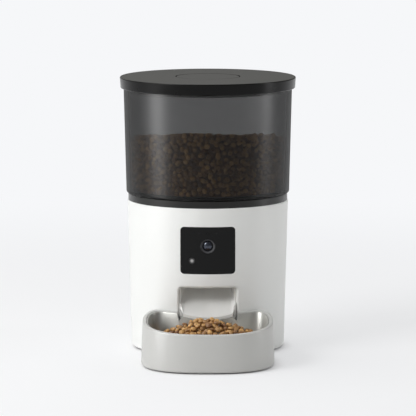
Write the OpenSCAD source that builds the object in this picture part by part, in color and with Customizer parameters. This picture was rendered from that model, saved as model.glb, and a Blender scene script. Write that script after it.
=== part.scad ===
// Automatic pet feeder with camera. A smoked food tank stands on a round housing. A paddle wheel in the
// housing, driven by a motor through spur gears, drops portions down a chute into the bowl in front.
// Millimetres. Z is up from the floor, the front is -Y and the origin is the middle of the footprint.

/* [Housing] */
// Outside diameter of the housing at its top edge
housing_top_d = 173.8; // [170:0.2:178]
// Outside diameter of the housing at its bottom edge
housing_bottom_d = 165.6; // [162:0.2:172]
// Height of the housing shell
housing_h = 159; // [154:1:176]
// Wall of the housing shell
housing_wall = 3; // [2.6:0.1:3.4]
// Radius of the housing's bottom edge
housing_edge = 2; // [1:0.1:2.4]
// Height of the housing's edge above the floor
foot_lift = 2; // [1:0.5:4]
// Diameter of a rubber foot
foot_d = 14; // [8:1:16]
// Thickness of the base plate
plate_t = 3; // [2.5:0.5:5]
// Thickness of the deck that carries the dispenser
deck_t = 3; // [2:0.5:5]
// Depth of the deck below the housing's top edge
deck_drop = 34; // [32:1:38]

/* [Food tank] */
// Outside diameter of the tank at its foot
tank_bottom_d = 176.2; // [172:0.2:179]
// Height of the tank
tank_h = 120; // [90:1:180]
// Wall of the tank
tank_wall = 2.4; // [1.6:0.1:3]
// Outside diameter of the collar between tank and housing
collar_d = 172.2; // [170:0.2:173.6]
// Height of the collar that shows
collar_h = 7.8; // [6:0.2:14]
// Gap between the funnel's outlet and the dispensing chamber
outlet_gap = 4; // [2.8:0.1:8]
// Wall of the funnel
funnel_t = 2; // [1.5:0.1:3]

/* [Lid] */
// Outside diameter of the lid
lid_d = 190; // [186:0.2:200]
// How far the lid stands out past the tank's rim
lid_overhang = 3.5; // [2.8:0.1:6]
// Height of the lid's skirt
lid_h = 12; // [9:0.5:20]
// Wall of the lid
lid_wall = 2.4; // [1.8:0.1:2.8]
// Diameter of the seal button in the lid
button_d = 68; // [40:1:90]
// Ring gap around the seal button
button_gap = 1; // [0.5:0.1:2]
// Outside diameter of the desiccant box
desiccant_d = 62; // [40:1:66]
// Height of the desiccant box
desiccant_h = 12; // [9:0.5:25]

/* [Camera panel] */
// Width of the black panel
panel_w = 58.3; // [54:0.1:64]
// Height of the black panel
panel_h = 50.6; // [48:0.1:54]
// Height of the panel's middle above the floor
panel_z = 116; // [113:0.5:119]
// Corner radius of the panel
panel_corner = 4; // [2:0.5:6]
// Thickness of the panel
panel_t = 1.7; // [1.4:0.1:1.8]
// Height of the lens above the panel's middle
lens_up = 4.7; // [0:0.1:7]
// Outside diameter of the lens ring
bezel_d = 16.4; // [14:0.2:20]
// Diameter of the lens
lens_d = 11.2; // [8:0.2:12]
// Distance of the feed button to the left of the middle
feed_left = 16.9; // [15:0.1:19]
// Distance of the feed button below the panel's middle
feed_down = 11; // [10:0.1:14]
// Diameter of the feed button
feed_d = 6.8; // [5:0.1:7.6]
// Spacing of the three pinholes
pinhole_pitch = 9.3; // [8:0.1:11]
// Height of the pinholes above the panel's middle
pinhole_up = 18.3; // [17:0.1:20]
// Diameter of a pinhole
pinhole_d = 1.2; // [0.8:0.1:2]

/* [Chute] */
// Width of the chute's mouth
mouth_w = 57; // [50:0.5:62]
// Height of the mouth's top edge above the floor
mouth_top = 73.5; // [68:0.5:76]
// Height of the mouth's bottom edge above the floor
mouth_bottom = 42; // [40:0.5:42.5]
// Corner radius of the mouth
mouth_corner = 1.5; // [1:0.5:6]
// Rounding of the mouth's edge
mouth_round = 2.5; // [1:0.1:2.6]
// Height of the chute's floor at the middle of its lip
lip_z = 43.4; // [43:0.2:48]
// Depth of the dish across the lip
lip_dish = 3.5; // [2:0.1:6]
// Wall of the chute
chute_wall = 2; // [1.6:0.1:2.2]
// Width of the port through which food drops into the chute
port_w = 38; // [34:0.5:44]

/* [Dispenser] */
// Diameter of the paddle wheel
rotor_d = 97; // [90:0.5:100]
// Height of the paddle wheel
rotor_h = 25; // [20:0.5:26]
// Number of vanes
vanes = 6; // [4:1:8]
// Thickness of a vane
vane_t = 2.2; // [1.6:0.1:4]
// Gap between the paddle wheel and the chamber's wall
wheel_gap = 1.5; // [0.8:0.1:3]
// Inside depth of the dispensing chamber
chamber_h = 32; // [32:0.5:36]
// Wall of the dispensing chamber
chamber_wall = 2.5; // [2:0.1:3]
// Diameter of the rotor shaft
shaft_d = 8; // [6:0.2:9]

/* [Gears] */
// Gear module
gear_module = 1; // [0.9:0.05:1.05]
// Teeth of the output gear on the rotor shaft
output_teeth = 36; // [34:1:37]
// Teeth of the idler's small gear
idler_small = 14; // [13:1:16]
// Teeth of the idler's large gear
idler_large = 30; // [26:1:31]
// Teeth of the motor pinion
pinion_teeth = 12; // [12:1:14]
// Face width of the gears
gear_w = 6; // [4:0.5:7]
// Tooth clearance at the pitch circle
backlash = 0.3; // [0.2:0.05:0.4]
// Diameter of the motor
motor_d = 24.4; // [22:0.2:26]
// Height of the motor
motor_h = 20; // [14:0.5:24]

/* [Bowl] */
// Width of the bowl tray
bowl_w = 140.6; // [130:0.2:160]
// Distance of the bowl's widest line from the housing's axis
bowl_mid = 116; // [112:0.5:124]
// Reach of the bowl in front of its widest line
bowl_front = 65; // [58:0.5:80]
// Length of the bowl's outline behind its widest line
bowl_rear = 76; // [72:0.5:84]
// Squareness of the bowl's outline, where 2 is an ellipse
bowl_power = 2.5; // [2.1:0.1:3]
// Gap between the bowl's back and the housing
bowl_gap = 0.8; // [0.5:0.1:2]
// Height of the bowl's rim at the front
rim_front_z = 41; // [36:0.5:44]
// Height of the bowl's rim at the back
rim_rear_z = 50.5; // [48:0.5:54]
// Width of the bowl's rim
rim_w = 4.2; // [3.6:0.1:6]
// Inward lean of the bowl's wall over its height
bowl_draft = 1.4; // [0.6:0.1:3]
// Radius of the bowl's bottom edge
bowl_edge = 3.5; // [2:0.5:6]
// Thickness of the bowl tray's floor
tray_floor = 2.6; // [2:0.1:4]
// Height of the bowl's pads
pad_h = 1.2; // [0.8:0.1:2]
// Thickness of the liner
liner_t = 1.2; // [0.8:0.1:2]
// Inside radius between the bowl's wall and floor
bowl_cove = 14; // [8:0.5:20]

/* [Battery tray] */
// Width of the battery space
bay_w = 106; // [100:0.5:108]
// Length of the battery space
bay_l = 70; // [66:0.5:72]
// Height of the battery space
bay_h = 36; // [30:0.5:36]
// Wall of the battery tray
bay_wall = 2; // [1.6:0.1:2.4]
// Number of cells side by side
cells = 3; // [2:1:4]

/* [Hidden] */
$fn = 96;
hull_fn = 32;
over = 1;                       // how far a cut runs past a face
fit = 0.3;                      // gap between pieces that slide past each other
seat = 0.1;                     // gap around pieces that are fixed in place
run_fit = 0.05;                 // gap around a shaft that turns
shell_bottom = foot_lift;
shell_top = shell_bottom + housing_h;
tank_z = shell_top + collar_h;
tank_top = tank_z + tank_h;
tank_top_d = lid_d - 2*lid_overhang;
bowl_reach = bowl_mid + bowl_front;
axis_y = (bowl_reach - lid_d/2)/2;

// Outside radius of the housing at a height, and the tank's
function shell_r(z) = (housing_bottom_d + (housing_top_d - housing_bottom_d)*(z - shell_bottom)/housing_h)/2;
function tank_r(z) = (tank_bottom_d + (tank_top_d - tank_bottom_d)*(z - tank_z)/tank_h)/2;
function arc(centre, radius, from, to, steps = 5) =
    [for (i = [0:steps]) let (a = from + (to - from)*i/steps) centre + radius*[cos(a), sin(a)]];

// Deck, chamber and rotor levels
top_bevel = 0.8;
ledge_w = 4;
ledge_t = 3;
deck_screw_angles = [20, 160, 200, 340];
deck_top = shell_top - deck_drop;
deck_z = deck_top - deck_t;
rotor_r = rotor_d/2;
chamber_r = rotor_r + wheel_gap;
chamber_out = chamber_r + chamber_wall;
chamber_floor = 3;
chamber_flange = [5.5, 2.5];
floor_top = deck_top - chamber_h;
floor_z = floor_top - chamber_floor;
rotor_lift = 1;
rotor_z = floor_top + rotor_lift;
rotor_top = rotor_z + rotor_h;
rotor_hub_r = 9.5;
guard_t = 1.6;
guard_lift = 1;
guard_z = rotor_top + guard_lift;
guard_in = 15;
guard_spread = 64;
stirrer_h = 9;
stirrer_r = 8.5;
finger_r = 2.2;
finger_l = 34;
finger_tilt = 55;
fingers = 3;
knob_r = 7;
knob_h = 6;
knob_roof = 2;
knob_grips = 8;
shaft_r = shaft_d/2;
bush_wall = 2.4;
bush_r = shaft_r + run_fit + bush_wall;
bush_flange = [2, 0.7];

// Gear levels and places
pressure_angle = 25;
addendum = 0.9;
dedendum = 1.2;
gear_air = 1;
gear_room = 0.8;
case_wall = 2;
case_floor = 3;
cover_t = 3;
cover_z = floor_z - cover_t;
high_gear_z = cover_z - 3*gear_air - gear_w;
low_gear_z = high_gear_z - gear_air - gear_w;
case_floor_top = low_gear_z - 2*gear_air;
case_z = case_floor_top - case_floor;
idler_y = gear_module*(output_teeth + idler_small)/2;
motor_y = idler_y + gear_module*(idler_large + pinion_teeth)/2;
axle_r = 2;
motor_r = motor_d/2;
motor_shaft_r = 1.2;
motor_step = 1;
case_r = [for (teeth = [output_teeth, idler_large]) gear_module*(teeth/2 + addendum) + gear_room];
pinion_room = motor_r - case_wall;
gear_screw_r = 1.25;
gear_screw_bite = 2;
gear_boss_r = 4;
gear_bosses = [[case_r[0] + case_wall + 1, idler_y/2], [case_r[1] + case_wall + 0.5, (idler_y + motor_y)/2]];
motor_screw_r = 1;
motor_screw_x = 8;
motor_screw_bite = 3;

// Chute places
chute_back = case_r[0] + case_wall + 0.5 + chute_wall;
chute_under = 1.3*chute_wall;
lip_gap = 0.5;
sheet = 0.2;

// Bowl places
bowl_back_r = max(shell_r(rim_rear_z), shell_r(shell_bottom)) + bowl_gap - bowl_draft;
tray_in = bowl_draft + rim_w;
cove_in = tray_in + 1.5;
tray_floor_z = pad_h + tray_floor;
rim_round = 1.5;
rim_curve = 1.3;
liner_drop = 0.9;
corner_cut = 4;
corner_open = 0.7;
bend_steps = 4;
side_steps = 44;
back_steps = 12;
lip_r = bowl_back_r + tray_in - lip_gap;
notch_w = mouth_w + 2*mouth_round + 2*fit;
notch_gap = 0.5;
notch_z = mouth_bottom - mouth_round + 1;
tongue = [34, 14, 3];
tongue_z = 8;
pad_r = 5;

// Camera places
panel_skin = 0.15;
pocket_depth = 2;
window_edge = 3;
lens_z = panel_z + lens_up;
bezel_y = -shell_r(lens_z) + 0.4;
bezel_r = bezel_d/2;
bezel_l = 6.5;
bezel_cone = 2.6;
bezel_lip = 0.35;
barrel_nose = 2;
lens_dome = 1.6;
lens_r = lens_d/2;
board_t = 1.6;
camera_depth = 18;
board_y = bezel_y + camera_depth;
camera_board_size = [48, 42];
barrel_r = 7.2;
post_r = 2.2;
post_at = [20.5, 17.5];
feed_z = panel_z - feed_down;
feed_r = feed_d/2;
feed_travel = 0.6;
feed_flange = 1;
switch_size = [6.2, 3.5];
pinhole_z = panel_z + pinhole_up;
pipe_r = 1.6;
boot_r = 3;

// Lid places
lid_plate = 2.4;
lid_rib_h = 2.5;
lid_edge = 1.2;
lid_draft = 0.7;
lid_top = tank_top + fit + lid_rib_h + lid_plate;
lid_under = lid_top - lid_plate;
button_r = button_d/2;
button_t = 2.6;
button_edge = 0.6;
well_r = button_r + button_gap;
well_depth = 9;
well_floor = 2;
well_wall = 2;
well_z = lid_top - well_depth;
plug_gap = 2.4;
plug_wall = 2;
plug_h = 12.6;
plug_r = tank_r(lid_under - plug_h) - tank_wall - plug_gap;
plug_in = well_r + well_wall + seat;
plug_z = lid_under - plug_h;
groove = [1.2, 3];
groove_z = plug_z + 4;
seal_lip = 0.6;
seal_web = 0.2;
desiccant_r = desiccant_d/2;
desiccant_wall = 1.6;
desiccant_top = well_z - well_floor;
desiccant_z = desiccant_top - desiccant_h;
cover_slots = 12;

// Collar and funnel places
spigot_h = 7;
spigot_r = shell_r(shell_top - spigot_h) - housing_wall - fit;
collar_in = spigot_r - 3.5;
collar_ledge = 3.5;
collar_ledge_z = shell_top - 3;
tank_spigot = [2.2, 5.8];
tank_edge = 2.2;
rim_bevel = 0.8;
collar_bevel = 0.6;
ledge_plate = 2;
outlet_r = chamber_r - outlet_gap;
outlet_z = guard_z + guard_t + 1;
outlet_l = 4;

// Base plate, battery tray and feet
plate_z = shell_bottom + 1;
plate_top = plate_z + plate_t;
plate_r = shell_r(shell_bottom) - housing_wall - fit;
boss_r = 4.5;
boss_h = 22;
boss_inset = 6.5;
boss_at = plate_r - boss_inset;
boss_angles = [65, 115, 245, 295];
base_screw_r = 1.25;
base_screw_l = 12;
base_head = [3, 1.8];
foot_angle = 50.7;
foot_margin = 1.5;
foot_at = (plate_r - foot_d/2 - foot_margin)*[cos(foot_angle), sin(foot_angle)];
foot_bevel = 0.6;
bay_back = motor_y - motor_r - 2 - bay_wall;
bay_mid = bay_back - bay_l/2;
cover_lap = 2;
cover_plate = plate_t/2;
spring_h = 7;
spring_r = [6.5, 3.5];
contact_t = 0.6;
contact_size = [16, 14];
cover_tab = 9;
screw_tab_y = bay_back + bay_wall + cover_tab/2;

// Main board, speaker and power socket
board_size = [62, 50];
board_z = 92;
board_face = 66;
processor = [18, 16, 3];
processor_at = [-12, 8];
driver_chip = [12, 12, 2];
driver_at = [14, -6];
wire_plug = [9, 5, 4];
plug_pitch = 14;
plug_drop = 20;
image_chip = [14, 14, 1.2];
ribbon_plug = [18, 5, 3];
ribbon_drop = 14;
sensor_size = [5, 9, 8];
board_boss_r = 3;
board_boss_at = [24, 19];
speaker_r = 15;
speaker_z = 50;
speaker_t = 6;
speaker_face = shell_r(speaker_z) - housing_wall - 3;
speaker_ring = 2;
grille_d = 2.2;
grille_pitch = 4.4;
socket_size = [16, 9];
socket_z = 18;
socket_slot = [9.2, 3.4];
socket_hole = [13, 7];
socket_corner = 2;
socket_face = shell_r(socket_z) - housing_wall - 0.5;

module placed() { translate([0, axis_y, 0]) children(); }
module facing_front(x, y, z) { translate([x, y, z]) rotate([90, 0, 0]) children(); }
module facing_back(x, y, z) { translate([x, y, z]) rotate([-90, 0, 0]) children(); }
module rounded(w, h, r) {
    square([w - 2*r, h], center = true);
    square([w, h - 2*r], center = true);
    for (x = [-1, 1], y = [-1, 1]) translate([x*(w/2 - r), y*(h/2 - r)]) circle(r);
}
module tube(r_out, r_in, h) {
    difference() {
        cylinder(r = r_out, h = h);
        translate([0, 0, -over]) cylinder(r = r_in, h = h + 2*over);
    }
}

// Solid cone that follows the housing's outside, inset by a depth
module shell_cone(inset, from, to) {
    translate([0, 0, from]) cylinder(r1 = shell_r(from) - inset, r2 = shell_r(to) - inset, h = to - from);
}

// Involute gear outline with a tooth on the X axis
function involute(a) = tan(a)*180/PI - a;
function gear_half(teeth, r) =
    let (rp = gear_module*teeth/2, rb = rp*cos(pressure_angle))
    90/teeth - backlash*90/(PI*rp) + involute(pressure_angle) - involute(acos(min(1, rb/r)));
function gear_radii(teeth, steps = 4) =
    let (rp = gear_module*teeth/2, rb = rp*cos(pressure_angle), tip = rp + gear_module*addendum)
    let (foot = max(rb, rp - gear_module*dedendum))
    [for (i = [0:steps]) foot + (tip - foot)*i/steps];
function gear_outline(teeth) =
    let (radii = gear_radii(teeth), root = gear_module*(teeth/2 - dedendum), last = len(radii) - 1)
    [for (i = [0:teeth - 1]) let (mid = 360*i/teeth) each concat(
        [let (a = mid - gear_half(teeth, radii[0])) root*[cos(a), sin(a)]],
        [for (r = radii) let (a = mid - gear_half(teeth, r)) r*[cos(a), sin(a)]],
        [for (k = [last:-1:0]) let (a = mid + gear_half(teeth, radii[k])) radii[k]*[cos(a), sin(a)]],
        [let (a = mid + gear_half(teeth, radii[0])) root*[cos(a), sin(a)]])];
module gear(teeth, bore_r) {
    linear_extrude(gear_w) difference() {
        polygon(gear_outline(teeth));
        circle(bore_r);
    }
}

// Outline of the gear case, grown by a wall
module case_outline(wall) {
    hull() {
        circle(case_r[0] + wall, $fn = hull_fn);
        translate([0, idler_y]) circle(case_r[1] + wall, $fn = hull_fn);
        translate([0, motor_y]) circle(pinion_room + wall, $fn = hull_fn);
    }
}
module gear_boss_places() { for (p = gear_bosses, s = [-1, 1]) translate([s*p.x, p.y]) children(); }

// Outline of the bowl, inset by a distance: a squared ellipse cut off by the housing
function bowl_point(inset, dir) =
    let (a = bowl_w/2 - inset, b = (sin(dir) < 0 ? bowl_front : bowl_rear) - inset)
    let (x = pow(abs(cos(dir))/a, bowl_power), y = pow(abs(sin(dir))/b, bowl_power))
    pow(x + y, -1/bowl_power)*[cos(dir), sin(dir)] - [0, bowl_mid];
function bowl_corner(inset, low = 5, high = 85, turns = 24) =
    let (mid = (low + high)/2)
    turns == 0 ? mid
    : norm(bowl_point(inset, mid)) > bowl_back_r + inset ? bowl_corner(inset, mid, high, turns - 1)
    : bowl_corner(inset, low, mid, turns - 1);
function bend(from, by, to) =
    [for (i = [1:bend_steps - 1]) let (t = i/bend_steps) from*pow(1 - t, 2) + by*2*t*(1 - t) + to*t*t];
function bowl_outline(inset) =
    let (corner = bowl_corner(inset), p = bowl_point(inset, corner), r = bowl_back_r + inset)
    let (cut = corner_cut + corner_open*inset, start = corner - cut, half = atan2(p.x, -p.y) - cut)
    let (side = [for (i = [0:side_steps]) bowl_point(inset, start - (180 + 2*start)*i/side_steps)])
    let (back = [for (i = [0:back_steps]) let (a = half*(2*i/back_steps - 1)) r*[sin(a), -cos(a)]])
    concat(side, bend(side[side_steps], [-p.x, p.y], back[0]), back, bend(back[back_steps], p, side[0]));
rim_run = bowl_reach + bowl_point(0, bowl_corner(0)).y;
function rim_z(y) =
    let (u = min(1, max(0, (y + bowl_reach)/rim_run)))
    rim_front_z + (rim_rear_z - rim_front_z)*(1 - pow(1 - u, rim_curve));

// A ring is its inset, its height, and whether that height is a depth below the rim
function ring_points(ring) =
    [for (p = bowl_outline(ring[0])) [p.x, p.y, ring[2] ? rim_z(p.y) - ring[1] : ring[1]]];
function cove_rings(offset) =
    [for (a = [0:18:90]) [cove_in + offset + (bowl_cove - offset)*(1 - cos(a)),
        tray_floor_z + offset + (bowl_cove - offset)*(1 - sin(a)), false]];
module bowl_loft(rings) {
    loft([for (ring = rings) ring_points(ring)],
        [0, -bowl_mid, rings[0][1]], [0, -bowl_mid, rings[len(rings) - 1][1]]);
}

// Closed skin over loops of equally many points, with a point in the middle of each end
module loft(loops, first, final) {
    n = len(loops[0]);
    last = len(loops) - 1;
    points = concat([first], [for (loop = loops) each loop], [final]);
    end = len(points) - 1;
    faces = concat(
        [for (j = [0:n - 1]) [0, 1 + (j + 1)%n, 1 + j]],
        [for (i = [0:last - 1], j = [0:n - 1]) let (a = 1 + i*n + j, b = 1 + i*n + (j + 1)%n)
            each [[a, b, b + n], [a, b + n, a + n]]],
        [for (j = [0:n - 1]) [end, 1 + last*n + j, 1 + last*n + (j + 1)%n]]);
    polyhedron(points = points, faces = faces, convexity = 6);
}
module chute_notch() {
    under = lip_z - chute_under - notch_gap;
    facing_front(0, -lip_r/2, 0) linear_extrude(lip_r/2 + bowl_cove) polygon(concat(
        [[-notch_w/2, 2*rim_rear_z], [-notch_w/2, notch_z]],
        [for (i = [-6:6]) let (x = mouth_w/2*i/6) [x, under + dish(x)]],
        [[notch_w/2, notch_z], [notch_w/2, 2*rim_rear_z]]));
}

// Lid
module lid_cap() {
    rim_r = tank_r(tank_top);
    skirt_r = lid_d/2 - lid_wall;
    skirt_z = lid_top - lid_h;
    color("#2b2b2b") rotate_extrude() polygon(concat(
        [[0, well_z], [0, well_z - well_floor], [well_r + well_wall, well_z - well_floor],
         [well_r + well_wall, lid_under], [rim_r - tank_wall, lid_under],
         [rim_r - tank_wall, tank_top + fit], [rim_r, tank_top + fit], [rim_r, lid_under],
         [skirt_r, lid_under], [skirt_r - lid_draft/2, skirt_z]],
        [[lid_d/2 - lid_draft - lid_edge/2, skirt_z], [lid_d/2 - lid_draft, skirt_z + lid_edge/2]],
        arc([lid_d/2 - lid_edge, lid_top - lid_edge], lid_edge, 0, 90),
        [[well_r, lid_top], [well_r, well_z]]));
}
module lid_plug() {
    wall_in = plug_r - plug_wall - groove.x;
    color("#3a3a3a") rotate_extrude() polygon([[plug_in, plug_z], [plug_r, plug_z], [plug_r, groove_z],
        [plug_r - groove.x, groove_z], [plug_r - groove.x, groove_z + groove.y],
        [plug_r, groove_z + groove.y],
        [plug_r, lid_under], [wall_in, lid_under], [wall_in, plug_z + plug_wall],
        [plug_in, plug_z + plug_wall]]);
}
module lid_seal() {
    inside = plug_r - groove.x + seat;
    reach = tank_r(groove_z) - tank_wall - fit;
    low = groove_z + seat;
    high = groove_z + groove.y - seat;
    mid = (low + high)/2;
    color("#8a8a8a") rotate_extrude() polygon([[inside, low], [plug_r, low], [reach, low - seal_lip],
        [reach, low], [plug_r + seal_lip, mid - seal_web], [plug_r + seal_lip, mid + seal_web],
        [reach, high - seal_lip], [reach, high], [plug_r, high], [inside, high]]);
}
module desiccant_box() {
    inside = desiccant_r - desiccant_wall;
    color("#d8d8d6") rotate_extrude() polygon([[0, desiccant_top], [desiccant_r, desiccant_top],
        [desiccant_r, desiccant_z], [inside, desiccant_z], [inside, desiccant_top - desiccant_wall],
        [0, desiccant_top - desiccant_wall]]);
}
module lid_button() {
    skirt = button_r - 3;
    low = well_z + fit;
    under = lid_top - button_t;
    color("#2f2f2f") rotate_extrude() polygon(concat([[0, under], [skirt - well_wall, under],
        [skirt - well_wall, low], [skirt, low], [skirt, under], [button_r, under]],
        arc([button_r - button_edge, lid_top - button_edge], button_edge, 0, 90, 3), [[0, lid_top]]));
}
module desiccant_cover() {
    plate = 2;
    low = desiccant_z - fit - plate;
    ring_out = desiccant_r - desiccant_wall - fit;
    slot = [1.6, 0.42*desiccant_r];
    color("#e6e6e4") difference() {
        union() {
            translate([0, 0, low]) cylinder(r = desiccant_r, h = plate);
            translate([0, 0, low + plate/2])
                tube(ring_out, ring_out - desiccant_wall, plate/2 + fit + desiccant_h/3);
        }
        for (i = [0:cover_slots - 1]) rotate(360*i/cover_slots)
            translate([0.3*desiccant_r, -slot.x/2, low - over]) cube([slot.y, slot.x, plate + 2*over]);
    }
}

// Tank
module food_tank() {
    rim = tank_r(tank_top);
    spigot = collar_in - seat;
    foot = tank_r(tank_z + tank_edge);
    color([0.25, 0.24, 0.24, 0.6]) rotate_extrude() polygon(concat(
        [[spigot - tank_spigot.x, tank_z - tank_spigot.y], [spigot, tank_z - tank_spigot.y],
         [spigot, tank_z]],
        arc([foot - tank_edge, tank_z + tank_edge], tank_edge, -90, 0),
        [[rim - rim_bevel/2, tank_top - rim_bevel], [rim - rim_bevel, tank_top], [rim - tank_wall, tank_top],
         [foot - tank_wall, tank_z + tank_edge + tank_wall], [spigot - tank_spigot.x, tank_z + tank_wall]]));
}
module tank_collar() {
    band = collar_d/2;
    step = collar_in - collar_ledge;
    color("#26261f") rotate_extrude() polygon([[spigot_r, shell_top - spigot_h], [spigot_r, shell_top],
        [band, shell_top], [band, tank_z - collar_bevel], [band - collar_bevel, tank_z], [collar_in, tank_z],
        [collar_in, collar_ledge_z], [step, collar_ledge_z], [step, collar_ledge_z - ledge_plate],
        [collar_in - 1, shell_top - spigot_h]]);
}
module hopper_funnel() {
    flange = collar_in - seat;
    top = collar_ledge_z + ledge_plate;
    cone_top = collar_in - collar_ledge - fit;
    throat = outlet_z + outlet_l;
    color("#4a4a48") rotate_extrude() polygon([[outlet_r, outlet_z], [outlet_r + funnel_t, outlet_z],
        [outlet_r + funnel_t, throat], [cone_top, collar_ledge_z], [flange, collar_ledge_z], [flange, top],
        [cone_top, top], [outlet_r, throat + funnel_t/2]]);
}

// Housing
module shell_profile() {
    ledge_r = shell_r(deck_z) - housing_wall;
    ledge_foot = deck_z - ledge_t - ledge_w;
    bottom_r = shell_r(shell_bottom + housing_edge);
    polygon(concat(
        arc([bottom_r - housing_edge, shell_bottom + housing_edge], housing_edge, -90, 0),
        [[shell_r(shell_top - top_bevel), shell_top - top_bevel],
         [shell_r(shell_top) - top_bevel, shell_top],
         [shell_r(shell_top) - housing_wall, shell_top], [ledge_r, deck_z], [ledge_r - ledge_w, deck_z],
         [ledge_r - ledge_w, deck_z - ledge_t], [shell_r(ledge_foot) - housing_wall, ledge_foot],
         [shell_r(shell_bottom) - housing_wall, shell_bottom]]));
}
module panel_outline(grow) { rounded(panel_w + 2*grow, panel_h + 2*grow, panel_corner + grow); }
module panel_prism(grow, depth) {
    facing_front(0, -depth, panel_z) linear_extrude(shell_r(panel_z)) panel_outline(grow);
}
// The mouth's outline, and a cut through the wall that follows it with an eased outer edge
function mouth_outline(grow, steps = 12) =
    let (r = mouth_corner + grow, x = mouth_w/2 + grow - r, top = mouth_top + grow - r)
    let (low = mouth_bottom - grow + r)
    concat(
        arc([x, top], r, 0, 90), [for (i = [1:steps - 1]) [x*(1 - 2*i/steps), top + r]],
        arc([-x, top], r, 90, 180), arc([-x, low], r, 180, 270),
        [for (i = [1:steps - 1]) [x*(2*i/steps - 1), low - r]], arc([x, low], r, 270, 360));
function on_shell(outline, inset) =
    [for (p = outline) [p.x, -sqrt(pow(shell_r(p.y) - inset, 2) - pow(p.x, 2)), p.y]];
function on_plane(outline, y) = [for (p = outline) [p.x, y, p.y]];
module mouth_cut() {
    mid = (mouth_top + mouth_bottom)/2;
    halfway = mouth_round*(1 - cos(45));
    past = 1.4;
    wide = mouth_outline(halfway + past*(mouth_round - halfway));
    front = -max(shell_r(mouth_top + mouth_round), shell_r(mouth_bottom - mouth_round)) - over;
    loft([on_plane(wide, front), on_shell(wide, halfway*(1 - past)),
        on_shell(mouth_outline(halfway), halfway),
        on_shell(mouth_outline(0), mouth_round), on_shell(mouth_outline(0), 2*housing_wall - mouth_round),
        on_plane(mouth_outline(0), -chamber_out)],
        [0, front, mid], [0, -chamber_out, mid]);
}
module boss_places() { for (a = boss_angles) rotate(a) translate([boss_at, 0, 0]) children(); }
module board_boss_places() {
    for (x = [-1, 1], z = [-1, 1]) translate([x*board_boss_at.x, board_face, board_z + z*board_boss_at.y])
        rotate([-90, 0, 0]) children();
}
module grille() {
    rows = floor(speaker_r/grille_pitch);
    for (i = [-rows:rows], k = [-rows:rows])
        if (norm([i, k])*grille_pitch < speaker_r - grille_d)
            facing_back(i*grille_pitch, speaker_face, speaker_z + k*grille_pitch)
                cylinder(d = grille_d, h = 4*housing_wall);
}
module base_shell() {
    post = boss_h - 1;
    color("#f4f5f3") difference() {
        union() {
            rotate_extrude() shell_profile();
            boss_places() translate([0, 0, plate_top]) {
                cylinder(r = boss_r, h = boss_h);
                translate([0, -1, 0]) cube([shell_r(plate_top) - housing_wall/2 - boss_at, 2, post]);
            }
            intersection() {
                shell_cone(housing_wall/2, shell_bottom, shell_top);
                union() {
                    board_boss_places() translate([0, 0, board_t])
                        cylinder(r = board_boss_r, h = board_face);
                    facing_back(0, speaker_face - speaker_t, speaker_z)
                        cylinder(r = speaker_r + seat + speaker_ring, h = speaker_face);
                }
            }
        }
        difference() {
            panel_prism(seat, chamber_out);
            shell_cone(pocket_depth, shell_bottom, shell_top);
        }
        panel_prism(-window_edge, chamber_out);
        mouth_cut();
        boss_places() translate([0, 0, plate_top - over])
            cylinder(r = base_screw_r, h = base_screw_l + over);
        facing_back(0, speaker_face - speaker_t - over, speaker_z)
            cylinder(r = speaker_r + seat, h = speaker_t + over);
        facing_back(0, speaker_face - over, speaker_z) cylinder(r = speaker_r - speaker_ring, h = 2*over);
        grille();
        board_boss_places() cylinder(r = gear_screw_r, h = board_t + 2*board_boss_r);
        facing_back(0, boss_at, socket_z) linear_extrude(shell_r(socket_z))
            rounded(socket_hole.x, socket_hole.y, socket_corner);
        translate([-tongue.x/2 - fit, -shell_r(tongue_z) - over, tongue_z - fit])
            cube([tongue.x + 2*fit, housing_wall + tongue.y, tongue.z + 2*fit]);
        deck_screw_places() translate([0, 0, deck_z - ledge_t - over])
            cylinder(r = gear_screw_r, h = ledge_t + 2*over);
    }
}
module deck_screw_places() {
    for (a = deck_screw_angles) rotate(a)
        translate([shell_r(deck_z) - housing_wall - ledge_w/2, 0, 0]) children();
}
module base_deck() {
    color("#e2e3e1") difference() {
        translate([0, 0, deck_z]) tube(shell_r(deck_z) - housing_wall - seat, chamber_out + seat, deck_t);
        translate([-panel_w/2, -shell_r(deck_top), deck_z - over])
            cube([panel_w, shell_r(deck_top) + board_y + board_t + 4, deck_t + 2*over]);
        deck_screw_places() translate([0, 0, deck_z - over])
            cylinder(r = gear_screw_r + seat, h = deck_t + 2*over);
    }
}
module pan_screw(radius, length, head) {
    translate([0, 0, -length]) cylinder(r = radius, h = length + head.y/2);
    cylinder(r = head.x, h = head.y);
}
module deck_screws() {
    color("#9a9a9a") deck_screw_places() translate([0, 0, deck_top])
        pan_screw(gear_screw_r - run_fit, deck_t + ledge_t, [1.9, 1.4]);
}

// Dispenser
module rotor_chamber() {
    lip = chamber_out + chamber_flange.x;
    flange_top = deck_top + chamber_flange.y;
    color("#d6d6d4") difference() {
        rotate_extrude() polygon([[bush_r + run_fit, floor_z], [chamber_out, floor_z],
            [chamber_out, deck_top], [lip, deck_top], [lip, flange_top],
            [chamber_r + 1, flange_top], [chamber_r, flange_top - 1],
            [chamber_r, floor_top], [bush_r + run_fit, floor_top]]);
        intersection() {
            translate([0, 0, floor_z - over]) tube(rotor_r, chute_back, chamber_floor + 2*over);
            translate([-port_w/2, -chamber_r, floor_z - over])
                cube([port_w, chamber_r, chamber_floor + 2*over]);
        }
        gear_boss_places() translate([0, 0, floor_z - over])
            cylinder(r = gear_screw_r, h = gear_screw_bite + fit + over);
    }
}
module outlet_guard() {
    color("#5a5a58") translate([0, 0, guard_z]) rotate([0, 0, -90 - guard_spread/2])
        rotate_extrude(angle = guard_spread)
            translate([guard_in, 0]) square([chamber_r - seat - guard_in, guard_t]);
}

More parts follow.
